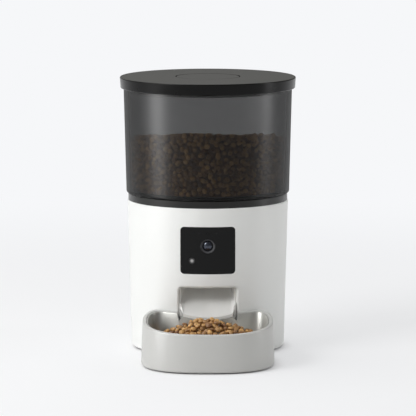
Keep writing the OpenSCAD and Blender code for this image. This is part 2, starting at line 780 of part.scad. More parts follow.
// Chute: a duct that widens from the port to the mouth, with a dished floor
function dish(x) = let (r = (pow(mouth_w/2, 2) + pow(lip_dish, 2))/(2*lip_dish)) r - sqrt(r*r - x*x);
module chute_port(grow) {
    translate([-port_w/2 - grow, -rotor_r - grow, floor_z - sheet])
        cube([port_w + 2*grow, rotor_r - chute_back + 2*grow, sheet]);
}
module chute_mouth(grow, drop, reach) {
    half = mouth_w/2 + grow;
    facing_front(0, -lip_r, 0) linear_extrude(reach) polygon(concat(
        [for (i = [-6:6]) let (x = half*i/6) [x, lip_z - drop + dish(x*mouth_w/2/half)]],
        [[half, mouth_top + grow], [-half, mouth_top + grow]]));
}
module chute_duct() {
    difference() {
        hull() {
            chute_port(chute_wall);
            chute_mouth(chute_wall, chute_under, sheet);
        }
        hull() {
            translate([0, 0, over]) chute_port(0);
            chute_port(0);
            chute_mouth(0, 0, over);
        }
    }
}
module food_chute() {
    color("#e4e4e2") intersection() {
        chute_duct();
        union() {
            shell_cone(housing_wall + seat, shell_bottom, shell_top);
            intersection() {
                translate([0, 0, shell_bottom]) cylinder(r = lip_r, h = mouth_top - mouth_corner);
                translate([-mouth_w/2 + seat, -lip_r, 0])
                    cube([mouth_w - 2*seat, lip_r, (mouth_top + mouth_bottom)/2]);
            }
        }
    }
}
module food_sensors() {
    side = port_w/2 + chute_wall + sensor_size.x;
    color("#303030") for (s = [0, 1]) mirror([s, 0, 0])
        translate([side, -rotor_r + sensor_size.y, floor_z - sensor_size.z]) cube(sensor_size);
}

// Drive
module gear_case() {
    color("#c9c9c7") difference() {
        translate([0, 0, case_z]) linear_extrude(cover_z - case_z) {
            case_outline(case_wall);
            gear_boss_places() circle(gear_boss_r);
        }
        translate([0, 0, case_floor_top]) linear_extrude(cover_z - case_floor_top + over) case_outline(0);
        translate([0, 0, case_z - over]) cylinder(r = shaft_r + run_fit, h = case_floor + 2*over);
        translate([0, idler_y, case_z - over]) cylinder(r = axle_r, h = case_floor + 2*over);
        translate([0, motor_y, case_z - over]) cylinder(r = 3*motor_shaft_r, h = case_floor + 2*over);
        for (s = [-1, 1]) translate([s*motor_screw_x, motor_y, case_z - over])
            cylinder(r = motor_screw_r + seat, h = case_floor + 2*over);
        gear_boss_places() translate([0, 0, case_z - over]) cylinder(r = gear_screw_r + seat, h = cover_z);
    }
}
module gear_cover() {
    color("#bdbdbb") difference() {
        translate([0, 0, cover_z]) linear_extrude(cover_t) {
            case_outline(case_wall);
            gear_boss_places() circle(gear_boss_r);
        }
        translate([0, 0, cover_z - over]) cylinder(r = bush_r + run_fit, h = cover_t + 2*over);
        translate([0, idler_y, cover_z - over]) cylinder(r = axle_r, h = cover_t + 2*over);
        gear_boss_places() translate([0, 0, cover_z - over])
            cylinder(r = gear_screw_r + seat, h = cover_t + 2*over);
    }
}
module gear_screws() {
    color("#9a9a9a") gear_boss_places() translate([0, 0, case_z]) mirror([0, 0, 1])
        pan_screw(gear_screw_r - run_fit, floor_z - case_z + gear_screw_bite, [2.4, 1.8]);
}
module idler_axle() {
    color("#b8b8b8") translate([0, idler_y, case_z]) cylinder(r = axle_r - run_fit/2, h = floor_z - case_z);
}
module shaft_bush() {
    color("#b48a4a") translate([0, 0, cover_z]) difference() {
        union() {
            cylinder(r = bush_r, h = floor_top - cover_z);
            translate([0, 0, floor_top - cover_z]) cylinder(r = bush_r + bush_flange.x, h = bush_flange.y);
        }
        translate([0, 0, -over]) cylinder(r = shaft_r + run_fit, h = floor_top + 2*over);
    }
}
module drive_motor() {
    color("#a9aaac") translate([0, motor_y, case_z - motor_h]) difference() {
        union() {
            cylinder(r = motor_r, h = motor_h - motor_step);
            cylinder(r = motor_r - motor_step, h = motor_h);
            translate([0, 0, -motor_step]) cylinder(r = motor_r/3, h = 2*motor_step);
        }
        translate([0, 0, over]) cylinder(r = motor_shaft_r + run_fit, h = motor_h);
        for (s = [-1, 1]) translate([s*motor_screw_x, 0, motor_h - motor_screw_bite - fit])
            cylinder(r = motor_screw_r, h = motor_h);
    }
}
module motor_screws() {
    color("#8c8c8c") for (s = [-1, 1]) translate([s*motor_screw_x, motor_y, case_floor_top])
        pan_screw(motor_screw_r - run_fit, case_floor + motor_screw_bite, [1.8, 1]);
}
module motor_shaft() {
    bottom = case_z - motor_h + over + fit;
    color("#c8c8c8") translate([0, motor_y, bottom])
        cylinder(r = motor_shaft_r, h = low_gear_z + gear_w + gear_air - bottom);
}
module motor_pinion() {
    color("#c9a85c") translate([0, motor_y, low_gear_z]) rotate(-90 + 180/pinion_teeth)
        gear(pinion_teeth, motor_shaft_r + run_fit/2);
}
module idler_gear() {
    hub_r = gear_module*(idler_small/2 - dedendum) - 0.4;
    color("#e9e7df") translate([0, idler_y, 0]) {
        translate([0, 0, low_gear_z]) rotate(90) gear(idler_large, axle_r + run_fit);
        translate([0, 0, high_gear_z]) rotate(-90 + 180/idler_small) gear(idler_small, axle_r + run_fit);
        translate([0, 0, low_gear_z]) tube(hub_r, axle_r + run_fit, high_gear_z + gear_w - low_gear_z);
    }
}
module output_gear() {
    hub = [shaft_r + 3, 2];
    color("#e9e7df") {
        translate([0, 0, high_gear_z]) rotate(90) gear(output_teeth, shaft_r + run_fit/2);
        translate([0, 0, high_gear_z + gear_w - over]) tube(hub.x, shaft_r + run_fit/2, hub.y + over);
    }
}
module rotor_shaft() {
    top = rotor_top + stirrer_h + knob_h - knob_roof;
    color("#c8c8c8") translate([0, 0, case_z]) cylinder(r = shaft_r, h = top - case_z);
}
module paddle_wheel() {
    color("#3f7f86") translate([0, 0, rotor_z]) difference() {
        union() {
            cylinder(r = rotor_hub_r, h = rotor_h);
            intersection() {
                cylinder(r = rotor_r, h = rotor_h);
                for (i = [0:vanes - 1]) rotate(360*i/vanes)
                    translate([0, -vane_t/2, 0]) cube([rotor_d, vane_t, rotor_h]);
            }
        }
        translate([0, 0, -over]) cylinder(r = shaft_r + run_fit/2, h = rotor_h + 2*over);
    }
}
module stirrer() {
    color("#3f7f86") translate([0, 0, rotor_top]) difference() {
        union() {
            cylinder(r = stirrer_r, h = stirrer_h);
            for (i = [0:fingers - 1]) rotate(360*i/fingers) translate([shaft_r, 0, stirrer_h/3])
                rotate([0, finger_tilt, 0]) {
                    cylinder(r = finger_r, h = finger_l);
                    translate([0, 0, finger_l]) sphere(finger_r);
                }
        }
        translate([0, 0, -over]) cylinder(r = shaft_r + run_fit/2, h = 2*stirrer_h);
    }
}
module rotor_knob() {
    grip = 0.8;
    color("#32666c") translate([0, 0, rotor_top + stirrer_h]) difference() {
        cylinder(r = knob_r, h = knob_h);
        translate([0, 0, -over]) cylinder(r = shaft_r + run_fit/2, h = knob_h - knob_roof + over);
        for (i = [0:knob_grips - 1]) rotate(360*i/knob_grips)
            translate([knob_r + grip, 0, grip]) cylinder(r = 2*grip, h = knob_h);
    }
}

// Camera
module pinhole_places() { for (i = [-1:1]) translate([i*pinhole_pitch, 0, 0]) children(); }
module camera_panel() {
    inner = panel_skin + panel_t;
    mid = shell_r(panel_z) - panel_skin - panel_t/2;
    color("#17181a") difference() {
        union() {
            intersection() {
                panel_prism(0, chamber_out);
                difference() {
                    shell_cone(panel_skin, shell_bottom, shell_top);
                    shell_cone(inner, 0, shell_top + over);
                }
            }
            for (x = [-1, 1], z = [-1, 1]) facing_front(x*post_at.x, board_y, panel_z + z*post_at.y)
                cylinder(r = post_r, h = board_y + sqrt(pow(mid + z*0.4, 2) - pow(post_at.x, 2)));
        }
        facing_front(0, board_y, lens_z) cylinder(r = bezel_r + seat, h = 2*camera_depth);
        facing_front(-feed_left, board_y, feed_z) cylinder(r = feed_r + 2*seat, h = 2*camera_depth);
        pinhole_places() facing_front(0, board_y, pinhole_z) cylinder(d = pinhole_d, h = 2*camera_depth);
    }
}
module lens_bezel() {
    color("#101012") facing_front(0, bezel_y, lens_z) rotate_extrude() polygon([[lens_r + seat, -bezel_l],
        [bezel_r, -bezel_l], [bezel_r, -bezel_lip], [bezel_r - bezel_lip, 0], [bezel_r - 2*bezel_lip, 0],
        [lens_r + seat, -bezel_cone]]);
}
module lens_barrel() {
    color("#202022") facing_front(0, board_y, lens_z) {
        cylinder(r = barrel_r, h = camera_depth - bezel_l);
        cylinder(r = lens_r, h = camera_depth - bezel_l + barrel_nose);
    }
}
module camera_lens() {
    back = barrel_nose - bezel_l;
    r = (lens_r*lens_r + lens_dome*lens_dome)/(2*lens_dome);
    a = asin(lens_r/r);
    steps = 8;
    color("#20304a") facing_front(0, bezel_y, lens_z) rotate_extrude() polygon(concat(
        [[0, back], [lens_r, back]],
        [for (i = [0:steps]) let (t = a*(1 - i/steps)) [r*sin(t), lens_dome - bezel_cone - r + r*cos(t)]]));
}
module chip(size) { linear_extrude(size.z) square([size.x, size.y], center = true); }
module camera_board() {
    color("#1e5a3a") {
        facing_back(0, board_y, panel_z) linear_extrude(board_t) square(camera_board_size, center = true);
        facing_back(0, board_y + board_t, lens_z) chip(image_chip);
        facing_back(0, board_y + board_t, panel_z - ribbon_drop) chip(ribbon_plug);
    }
}
module button_switch() {
    color("#2a2a2a") facing_front(-feed_left, board_y, feed_z) {
        linear_extrude(switch_size.y) square(switch_size.x, center = true);
    }
}
module microphone_boot() {
    back_r = shell_r(pinhole_z) - panel_skin - panel_t;
    color("#3a3a3a") facing_front(0, board_y, pinhole_z) tube(boot_r, pinhole_d/2, board_y + back_r - fit);
}
module infrared_pipes() {
    back_r = shell_r(pinhole_z) - panel_skin - panel_t;
    y = sqrt(pow(back_r, 2) - pow(pinhole_pitch + pipe_r, 2));
    color("#55303a") for (s = [-1, 1]) facing_front(s*pinhole_pitch, board_y, pinhole_z)
        cylinder(r = pipe_r, h = board_y + y - fit);
}
module feed_button() {
    flange_r = feed_r + 1;
    back_r = shell_r(feed_z - flange_r) - panel_skin - panel_t;
    flange_y = -sqrt(pow(back_r, 2) - pow(feed_left + flange_r, 2)) + fit;
    stem_end = board_y - switch_size.y - feed_travel - 0.2;
    color("#b9bab8") intersection() {
        shell_cone(-0.1, shell_bottom, shell_top);
        facing_front(-feed_left, 0, feed_z) {
            translate([0, 0, -flange_y - feed_flange]) cylinder(r = feed_r, h = 2*camera_depth);
            translate([0, 0, -flange_y - feed_flange]) cylinder(r = flange_r, h = feed_flange);
            translate([0, 0, -stem_end]) cylinder(r = 1.6, h = stem_end - flange_y);
        }
    }
}

// Electronics at the back
module main_board() {
    color("#1e5a3a") difference() {
        union() {
            facing_back(0, board_face, board_z) linear_extrude(board_t) square(board_size, center = true);
            facing_front(processor_at.x, board_face, board_z + processor_at.y) chip(processor);
            facing_front(driver_at.x, board_face, board_z + driver_at.y) chip(driver_chip);
            for (i = [-1:1]) facing_front(plug_pitch*i, board_face, board_z - plug_drop) chip(wire_plug);
        }
        board_boss_places() translate([0, 0, -over]) cylinder(r = board_boss_r/2, h = board_t + 2*over);
    }
}
module speaker() {
    frame = 1.5;
    magnet = speaker_r/2;
    color("#2c2c2c") facing_back(0, speaker_face - speaker_t, speaker_z) rotate_extrude() polygon([
        [0, 0], [magnet, 0], [magnet, speaker_t/2], [speaker_r, speaker_t - frame], [speaker_r, speaker_t],
        [speaker_r - speaker_ring, speaker_t], [magnet - frame, speaker_t - frame], [0, speaker_t - frame]]);
}
module power_socket() {
    block = [socket_hole.x - 2*seat, socket_hole.y - 2*seat];
    color("#262626") difference() {
        union() {
            translate([-socket_size.x/2, socket_face - socket_size.y, plate_top])
                cube([socket_size.x, socket_size.y - 0.6, socket_z + socket_hole.y/2 - plate_top]);
            facing_back(0, socket_face - socket_size.y + over, socket_z)
                linear_extrude(socket_size.y - over + housing_wall)
                    rounded(block.x, block.y, socket_corner - seat);
        }
        facing_back(0, socket_face - 4, socket_z) linear_extrude(2*socket_size.y)
            rounded(socket_slot.x, socket_slot.y, socket_slot.y/2 - 0.05);
    }
}

// Base plate, feet and battery tray
module bay_box(grow, height) {
    translate([-bay_w/2 - grow, bay_mid - bay_l/2 - grow, 0]) cube([bay_w + 2*grow, bay_l + 2*grow, height]);
}
module foot_places() { for (x = [-1, 1], y = [-1, 1]) translate([x*foot_at.x, y*foot_at.y, 0]) children(); }
module base_plate() {
    color("#e9eae8") difference() {
        translate([0, 0, plate_z]) cylinder(r = plate_r, h = plate_t);
        translate([0, 0, plate_z - over]) bay_box(0, plate_t + 2*over);
        translate([0, 0, plate_z - over]) bay_box(cover_lap + seat, cover_plate + over);
        translate([-cover_tab/2 - seat, bay_back, plate_z - over])
            cube([cover_tab + 2*seat, bay_wall + cover_tab + seat, cover_plate + over]);
        boss_places() {
            translate([0, 0, plate_z - over]) cylinder(r = base_screw_r + seat, h = plate_t + 2*over);
            translate([0, 0, plate_z - over]) cylinder(r = base_head.x + seat, h = base_head.y + over);
        }
        translate([0, screw_tab_y, plate_z - over]) cylinder(r = base_screw_r, h = plate_t + 2*over);
    }
}
module base_screws() {
    color("#9a9a9a") boss_places() translate([0, 0, plate_z + base_head.y]) mirror([0, 0, 1])
        pan_screw(base_screw_r - run_fit, base_screw_l, [base_head.x, base_head.y]);
}
module rubber_feet() {
    color("#3c3c3c") foot_places() {
        translate([0, 0, foot_bevel]) cylinder(d = foot_d, h = plate_z - foot_bevel);
        cylinder(d1 = foot_d - 2*foot_bevel, d2 = foot_d, h = foot_bevel);
    }
}
module cell_places() { for (i = [0:cells - 1]) translate([bay_w*((i + 0.5)/cells - 0.5), 0, 0]) children(); }
module battery_tray() {
    rib = 1.6;
    color("#4b4b4b") {
        translate([0, 0, plate_top]) difference() {
            bay_box(bay_wall, bay_h + bay_wall);
            translate([0, 0, -over]) bay_box(0, bay_h + over);
        }
        for (i = [1:cells - 1])
            translate([bay_w*(i/cells - 0.5) - rib/2, bay_mid - bay_l/2, plate_top + 0.7*bay_h])
                cube([rib, bay_l, 0.3*bay_h + bay_wall/2]);
    }
}
module battery_contacts() {
    color("#cfcfcf") cell_places() for (s = [-1, 1])
        translate([0, bay_mid + s*(bay_l - contact_t)/2, plate_top + bay_h/2])
            cube([contact_size.x, contact_t, contact_size.y], center = true);
}
module battery_springs() {
    color("#c2c2c2") cell_places() facing_front(0, bay_back - contact_t, plate_top + bay_h/2) difference() {
        cylinder(r1 = spring_r[0], r2 = spring_r[1], h = spring_h);
        translate([0, 0, -over]) cylinder(r = spring_r[1] - 1, h = spring_h + 2*over);
    }
}
module battery_cover() {
    grip = 1.2;
    color("#e4e5e3") difference() {
        union() {
            translate([0, 0, plate_z]) bay_box(cover_lap, cover_plate);
            translate([-cover_tab/2, bay_back, plate_z])
                cube([cover_tab, bay_wall + cover_tab, cover_plate]);
            translate([0, 0, plate_z]) bay_box(-seat, plate_t);
        }
        translate([0, screw_tab_y, plate_z - over]) cylinder(r = base_screw_r + seat, h = plate_t + 2*over);
        for (i = [-2:2]) translate([-bay_w/4, bay_mid - bay_l/3 + 3*grip*i, plate_z - over])
            cube([bay_w/2, grip, over + grip/2]);
    }
}
module battery_screw() {
    color("#9a9a9a") translate([0, screw_tab_y, plate_z]) mirror([0, 0, 1])
        pan_screw(base_screw_r - run_fit, plate_t + 1, [2.2, 0.8]);
}

// Bowl
module bowl_tray() {
    rings = concat(
        [for (a = [0:22.5:90]) [bowl_edge*(1 - sin(a)), pad_h + bowl_edge*(1 - cos(a)), false]],
        [for (a = [0:30:90]) [bowl_draft + rim_round*(1 - cos(a)), rim_round*(1 - sin(a)), true]],
        [[tray_in - rim_bevel, 0, true], [tray_in, rim_bevel, true]],
        cove_rings(0));
    color("#c3c3c1") difference() {
        union() {
            bowl_loft(rings);
            translate([-tongue.x/2, -bowl_back_r - rim_w/2, tongue_z])
                cube([tongue.x, tongue.y + rim_w/2, tongue.z]);
        }
        chute_notch();
    }
}
module bowl_pads() {
    x = bowl_w/2 - bowl_edge - 2.5*pad_r;
    color("#3c3c3c") for (s = [-1, 1], y = [-0.45*bowl_front, 0.3*bowl_rear])
        translate([s*x, y - bowl_mid, 0])
        cylinder(r = pad_r, h = pad_h);
}
module bowl_liner() {
    outer = cove_rings(fit);
    rings = concat(
        [for (i = [len(outer) - 1:-1:0]) outer[i]],
        [[tray_in + fit, liner_drop, true], [tray_in + fit + liner_t, liner_drop, true]],
        cove_rings(fit + liner_t));
    color("#b5b6b6") difference() {
        bowl_loft(rings);
        chute_notch();
    }
}

placed() lid_cap();
placed() lid_plug();
placed() lid_seal();
placed() desiccant_box();
placed() lid_button();
placed() desiccant_cover();
placed() food_tank();
placed() tank_collar();
placed() hopper_funnel();
placed() base_shell();
placed() base_deck();
placed() deck_screws();
placed() rotor_chamber();
placed() outlet_guard();
placed() food_chute();
placed() gear_cover();
placed() gear_case();
placed() gear_screws();
placed() idler_axle();
placed() shaft_bush();
placed() drive_motor();
placed() motor_screws();
placed() motor_shaft();
placed() motor_pinion();
placed() idler_gear();
placed() output_gear();
placed() rotor_shaft();
placed() paddle_wheel();
placed() stirrer();
placed() rotor_knob();
placed() camera_panel();
placed() lens_bezel();
placed() lens_barrel();
placed() camera_lens();
placed() camera_board();
placed() button_switch();
placed() microphone_boot();
placed() infrared_pipes();
placed() feed_button();
placed() main_board();
placed() speaker();
placed() power_socket();
placed() food_sensors();
placed() base_plate();
placed() base_screws();
placed() rubber_feet();
placed() battery_tray();
placed() battery_contacts();
placed() battery_springs();
placed() battery_cover();
placed() battery_screw();
placed() bowl_tray();
placed() bowl_pads();
placed() bowl_liner();
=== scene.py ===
# %% [markdown]
# # Automatic pet feeder with camera
# A smoked tank of dry food stands on a white housing, and a paddle wheel inside drops portions down a chute
# into a bowl. The CAD part is the frame: every piece made here rides on one of its bodies, so the lid, tank,
# bowl and wheel still move. The camera and the lamps are placed in metres. The sizes of the pieces are in
# millimetres, counted from the upright middle line of the tank, and become metres where points are made.

# %% Load the frame
import math
import random

import bmesh
import bpy
from mathutils import Matrix, Vector


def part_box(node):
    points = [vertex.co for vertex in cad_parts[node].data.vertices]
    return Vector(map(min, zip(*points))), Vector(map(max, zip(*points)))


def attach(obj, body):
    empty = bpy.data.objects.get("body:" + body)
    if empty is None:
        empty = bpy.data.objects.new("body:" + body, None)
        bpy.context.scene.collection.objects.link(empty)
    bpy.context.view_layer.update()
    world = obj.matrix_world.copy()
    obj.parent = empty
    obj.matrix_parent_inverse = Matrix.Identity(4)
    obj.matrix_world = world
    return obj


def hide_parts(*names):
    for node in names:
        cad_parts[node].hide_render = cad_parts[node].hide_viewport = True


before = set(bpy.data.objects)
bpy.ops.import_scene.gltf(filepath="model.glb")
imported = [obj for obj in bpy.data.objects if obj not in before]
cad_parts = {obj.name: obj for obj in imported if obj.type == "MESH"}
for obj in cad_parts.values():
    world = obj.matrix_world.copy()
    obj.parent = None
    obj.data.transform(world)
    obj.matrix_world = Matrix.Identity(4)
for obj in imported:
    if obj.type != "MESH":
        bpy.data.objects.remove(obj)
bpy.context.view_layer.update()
# The upright middle line of the tank and the housing.
AXIS = Vector((0.0, 0.043, 0.0))

# %% [markdown]
# ## Camera
# The rims of the lid and the bowl are thin ellipses, so the camera stands far away with a long lens and looks
# down only a little. A long lens keeps the tapered housing from looking like a barrel.

# %% Camera
FOCAL, SENSOR = 281.5, 36
CAMERA_AT = AXIS + Vector((0.0, -3.5, 0.613))
CAMERA_AIM = AXIS + Vector((0.0002, 0.0, 0.15055))

lens = bpy.data.cameras.new("product_camera")
lens.lens = FOCAL
lens.sensor_width = SENSOR
camera = bpy.data.objects.new("product_camera", lens)
bpy.context.collection.objects.link(camera)
camera.location = CAMERA_AT
camera.rotation_euler = (CAMERA_AIM - CAMERA_AT).to_track_quat("-Z", "Y").to_euler()
bpy.context.scene.camera = camera
print("camera distance", round((CAMERA_AIM - CAMERA_AT).length, 3))

# %% [markdown]
# ## Studio
# A product like this is lit by one big soft box up on the left, which makes the shadows, and a tall box that
# stands on the floor beside it, whose long reflection shows that the tank is glossy. A weak box on the right
# keeps the far side open. Two cards give those reflections more strength without more light on the white
# housing: they are lamps that diffuse paint doesn't see. The floor is nearly white: seen directly or in a
# reflection it glows, which hides its edge, and the rest is plain diffuse paint that keeps the feeder's soft
# shadow. In the narrow gaps under the feeder the glow gives way to the paint, so that it stands firmly.

# %% Lamps
def srgb(r, g, b):
    """Screen colour, 0 to 255, as the linear colour that shaders use."""
    def linear(v):
        v /= 255
        return v / 12.92 if v <= 0.04045 else ((v + 0.055) / 1.055) ** 2.4
    return (linear(r), linear(g), linear(b), 1.0)


def soft_box(name, place, towards, wide, high, power):
    """A rectangular lamp at a place, turned towards another; sizes are in metres and the power in watts."""
    data = bpy.data.lights.new(name, "AREA")
    data.shape = "RECTANGLE"
    data.size, data.size_y, data.energy = wide, high, power
    lamp = bpy.data.objects.new(name, data)
    bpy.context.collection.objects.link(lamp)
    lamp.location = Vector(place)
    lamp.rotation_euler = (Vector(towards) - lamp.location).to_track_quat("-Z", "Y").to_euler()
    return lamp


LEFT = (-1.38, -0.43, 0.85), (0, 0.043, 0.85)
RIGHT = (1.5, -0.05, 0.8), (0, 0.043, 0.8)

bpy.context.scene.view_settings.view_transform = "Standard"
soft_box("key_left", (-1.35, -1.05, 1.35), (0, 0, 0.12), 0.9, 0.9, 21.6)
soft_box("tall_left", *LEFT, 0.45, 1.7, 3.9)
soft_box("tall_right", *RIGHT, 0.35, 1.6, 6.0)
soft_box("top_soft", (-0.3, 0.5, 1.9), (0, 0, 0.1), 1.4, 1.4, 14)
for card in (soft_box("card_left", *LEFT, 0.45, 1.7, 40), soft_box("card_right", *RIGHT, 0.3, 1.6, 9)):
    card.visible_diffuse = False
print(len(bpy.data.lights), "soft boxes and cards")

# %% Room
def add_node(tree, kind, options=(), **values):
    """Adds a shader node, sets its options and then its inputs, named with underscores for spaces."""
    made = tree.nodes.new("ShaderNode" + kind)
    for option, choice in dict(options).items():
        setattr(made, option, choice)
    for socket, value in values.items():
        made.inputs[socket.replace("_", " ")].default_value = value
    return made


def join(start, output, end, socket):
    """Links an output of one node to an input of another."""
    end.id_data.links.new(start.outputs[output], end.inputs[socket])


def set_ramp(ramp, stops):
    """Gives a colour ramp its stops, each a place from 0 to 1 and a colour."""
    while len(ramp.elements) < len(stops):
        ramp.elements.new(0.5)
    for element, (place, colour) in zip(ramp.elements, stops):
        element.position, element.color = place, colour


world = bpy.data.worlds.new("studio")
bpy.context.scene.world = world
world.use_nodes = True
tree = world.node_tree
sight = add_node(tree, "TexCoord")
parts = add_node(tree, "SeparateXYZ")
left_right = add_node(tree, "MapRange", From_Min=-1)
sides = add_node(tree, "ValToRGB")
set_ramp(sides.color_ramp, [(0.40, (0.39, 0.39, 0.39, 1)), (0.60, (0.22, 0.22, 0.22, 1))])
join(sight, "Generated", parts, 0)
join(parts, "X", left_right, "Value")
join(left_right, "Result", sides, "Fac")
join(sides, "Color", tree.nodes["Background"], "Color")
print("room", world.name)

# %% Floor
FLOOR_HALF = 16

floor_mesh = bmesh.new()
bmesh.ops.create_grid(floor_mesh, x_segments=8, y_segments=8, size=FLOOR_HALF)
floor_data = bpy.data.meshes.new("studio_floor")
floor_mesh.to_mesh(floor_data)
floor_mesh.free()
floor = bpy.data.objects.new("studio_floor", floor_data)
bpy.context.collection.objects.link(floor)
print("floor", 2 * FLOOR_HALF, "m wide")

# %% Floor paint
floor_paint = bpy.data.materials.new("studio_floor")
floor_paint.use_nodes = True
tree = floor_paint.node_tree
tree.nodes.clear()
out = add_node(tree, "OutputMaterial")
mix = add_node(tree, "MixShader")
path = add_node(tree, "LightPath")
seen = add_node(tree, "Math", {"operation": "MAXIMUM"})
seen_through = add_node(tree, "Math", {"operation": "MAXIMUM"})
spot = add_node(tree, "TexCoord")
distance = add_node(tree, "VectorMath", {"operation": "LENGTH"})
fade = add_node(tree, "MapRange", {"interpolation_type": "SMOOTHSTEP"},
                From_Min=0.25, From_Max=1.3, To_Min=0.58, To_Max=1.0)
share = add_node(tree, "Math", {"operation": "MULTIPLY"})
nook = add_node(tree, "AmbientOcclusion", Distance=0.012)
open_share = add_node(tree, "Math", {"operation": "MULTIPLY"})
paint = add_node(tree, "BsdfDiffuse", Color=(0.88, 0.88, 0.88, 1))
glow = add_node(tree, "Emission", Color=srgb(246, 247, 249))
join(path, "Is Camera Ray", seen, 0)
join(path, "Is Glossy Ray", seen, 1)
join(seen, 0, seen_through, 0)
join(path, "Is Transmission Ray", seen_through, 1)
join(seen_through, 0, share, 0)
join(spot, "Object", distance, 0)
join(distance, "Value", fade, "Value")
join(fade, "Result", share, 1)
join(share, 0, open_share, 0)
join(nook, "AO", open_share, 1)
join(open_share, 0, mix, "Fac")
join(paint, 0, mix, 1)
join(glow, 0, mix, 2)
join(mix, 0, out, "Surface")
floor_data.materials.append(floor_paint)
print("floor paint with", len(tree.nodes), "nodes")

# %% [markdown]
# ## Finishes
# Moulded plastic is never one flat value: the tool's texture makes the gloss wander, and the colour drifts by
# a percent or two. One helper makes all of these from two noises on the object's own coordinates, a broad one
# for colour and gloss and a fine one for the grain you feel with a fingertip.

# %% Moulded plastic
def moulded(name, colour, rough, drift=0.04, wander=0.06, grain=900.0, depth=0.00002, coat=0.0, metal=0.0,
            **sockets):
    """A moulded or metal finish; further shader sockets are given by name, with underscores for spaces."""
    m = bpy.data.materials.new(name)
    m.use_nodes = True
    tree = m.node_tree
    shader = tree.nodes["Principled BSDF"]
    where = add_node(tree, "TexCoord")
    broad = add_node(tree, "TexNoise", Scale=38.0, Detail=4.0)
    fine = add_node(tree, "TexNoise", Scale=grain, Detail=2.0)
    tint = add_node(tree, "Mix", {"data_type": "RGBA"},
                    A=tuple(c * (1 - drift) for c in colour[:3]) + (1,),
                    B=tuple(min(1, c * (1 + drift)) for c in colour[:3]) + (1,))
    gloss = add_node(tree, "MapRange", From_Min=0.3, From_Max=0.7,
                     To_Min=max(0.02, rough - wander), To_Max=min(1.0, rough + wander))
    bump = add_node(tree, "Bump", Strength=0.35, Distance=depth)
    for noise in (broad, fine):
        join(where, "Object", noise, "Vector")
    join(broad, "Fac", tint, "Factor")
    join(broad, "Fac", gloss, "Value")
    join(fine, "Fac", bump, "Height")
    join(tint, "Result", shader, "Base Color")
    join(gloss, "Result", shader, "Roughness")
    join(bump, "Normal", shader, "Normal")
    shader.inputs["Metallic"].default_value = metal
    shader.inputs["Coat Weight"].default_value = coat
    for socket, value in sockets.items():
        shader.inputs[socket.replace("_", " ")].default_value = value
    return m


LOOKS = {
    "lid_black": dict(colour=srgb(8, 8, 7), rough=0.24, Specular_IOR_Level=0.15),
    "lid_inner": dict(colour=srgb(196, 196, 193), rough=0.5),
    "seal_silicone": dict(colour=srgb(205, 205, 200), rough=0.55),
    "desiccant_white": dict(colour=srgb(228, 228, 224), rough=0.5),
    "smoked_clear": dict(colour=srgb(14, 14, 13), rough=0.34, Specular_IOR_Level=0.34, Alpha=0.5),
    "collar_black": dict(colour=srgb(18, 18, 15), rough=0.3, Specular_IOR_Level=0.35),
    "funnel_grey": dict(colour=srgb(72, 72, 70), rough=0.5),
    "housing_white": dict(colour=srgb(236, 237, 235), rough=0.42, drift=0.01, Specular_IOR_Level=0.35),
    "inner_white": dict(colour=srgb(228, 228, 225), rough=0.5, drift=0.015),
    "screw_steel": dict(colour=srgb(150, 150, 152), rough=0.32, metal=1.0),
    "bush_brass": dict(colour=srgb(196, 158, 84), rough=0.34, metal=1.0),
    "motor_can": dict(colour=srgb(170, 171, 172), rough=0.3, metal=1.0),
    "gear_white": dict(colour=srgb(226, 224, 214), rough=0.42),
    "paddle_teal": dict(colour=srgb(84, 128, 128), rough=0.46),
    "panel_black": dict(colour=srgb(9, 9, 9), rough=0.12, wander=0.02, Specular_IOR_Level=0.18),
    "lens_glass": dict(colour=srgb(16, 20, 30), rough=0.05, wander=0.02, coat=1.0),
    "part_black": dict(colour=srgb(28, 28, 29), rough=0.42),
    "board_green": dict(colour=srgb(34, 84, 58), rough=0.4, grain=400.0),
    "rubber_dark": dict(colour=srgb(46, 46, 46), rough=0.75),
    "tray_grey": dict(colour=srgb(196, 196, 193), rough=0.40, drift=0.015),
    "liner_steel": dict(colour=srgb(186, 186, 182), rough=0.4, metal=0.85),
}
FINISH = {slot: moulded(slot, **look) for slot, look in LOOKS.items()}
print(len(FINISH), "moulded finishes")

# %% [markdown]
# ## Finishes that change across a piece
# The lid's flat top is satin and its rim is polished, so its roughness follows the direction that the surface
# faces, and its top is painted a lighter grey as a painted sheen of the light from above. Light that crosses
# the smoked wall at a slant has a longer way through the plastic, so the wall gets darker and duller towards
# its edges. The lens, its ring and the button are turned parts: their colour changes with the distance from
# their own middle, which the mapping node moves to the origin before the length is taken. The blue rings in
# the lens glass are painted reflections of its inner elements, and the grey band on the dark ring is a
# painted sheen.

# %% Satin lid top with painted sheen
def satin_and_painted_sheen_top(m, colour, rough):
    """Gives what faces up another roughness and another colour, which is painted sheen, and keeps the finish
    of the rest.
    """
    tree = m.node_tree
    shader = tree.nodes["Principled BSDF"]
    where = add_node(tree, "TexCoord")
    facing = add_node(tree, "SeparateXYZ")
    upward = add_node(tree, "MapRange", From_Min=0.6, From_Max=0.97)
    # The colour given to what faces up is a painted sheen of the light from above.
    paler = add_node(tree, "Mix", {"data_type": "RGBA"}, B=colour)
    duller = add_node(tree, "Mix", B=rough)
    join(where, "Normal", facing, 0)
    join(facing, "Z", upward, "Value")
    for blend, socket in ((paler, "Base Color"), (duller, "Roughness")):
        join(upward, "Result", blend, "Factor")
        tree.links.new(shader.inputs[socket].links[0].from_socket, blend.inputs["A"])
        join(blend, "Result", shader, socket)


# The lighter grey of the lid's top is painted sheen; its rougher satin finish is real.
satin_and_painted_sheen_top(FINISH["lid_black"], srgb(76, 76, 73), 0.5)
print("lid top", FINISH["lid_black"].name)

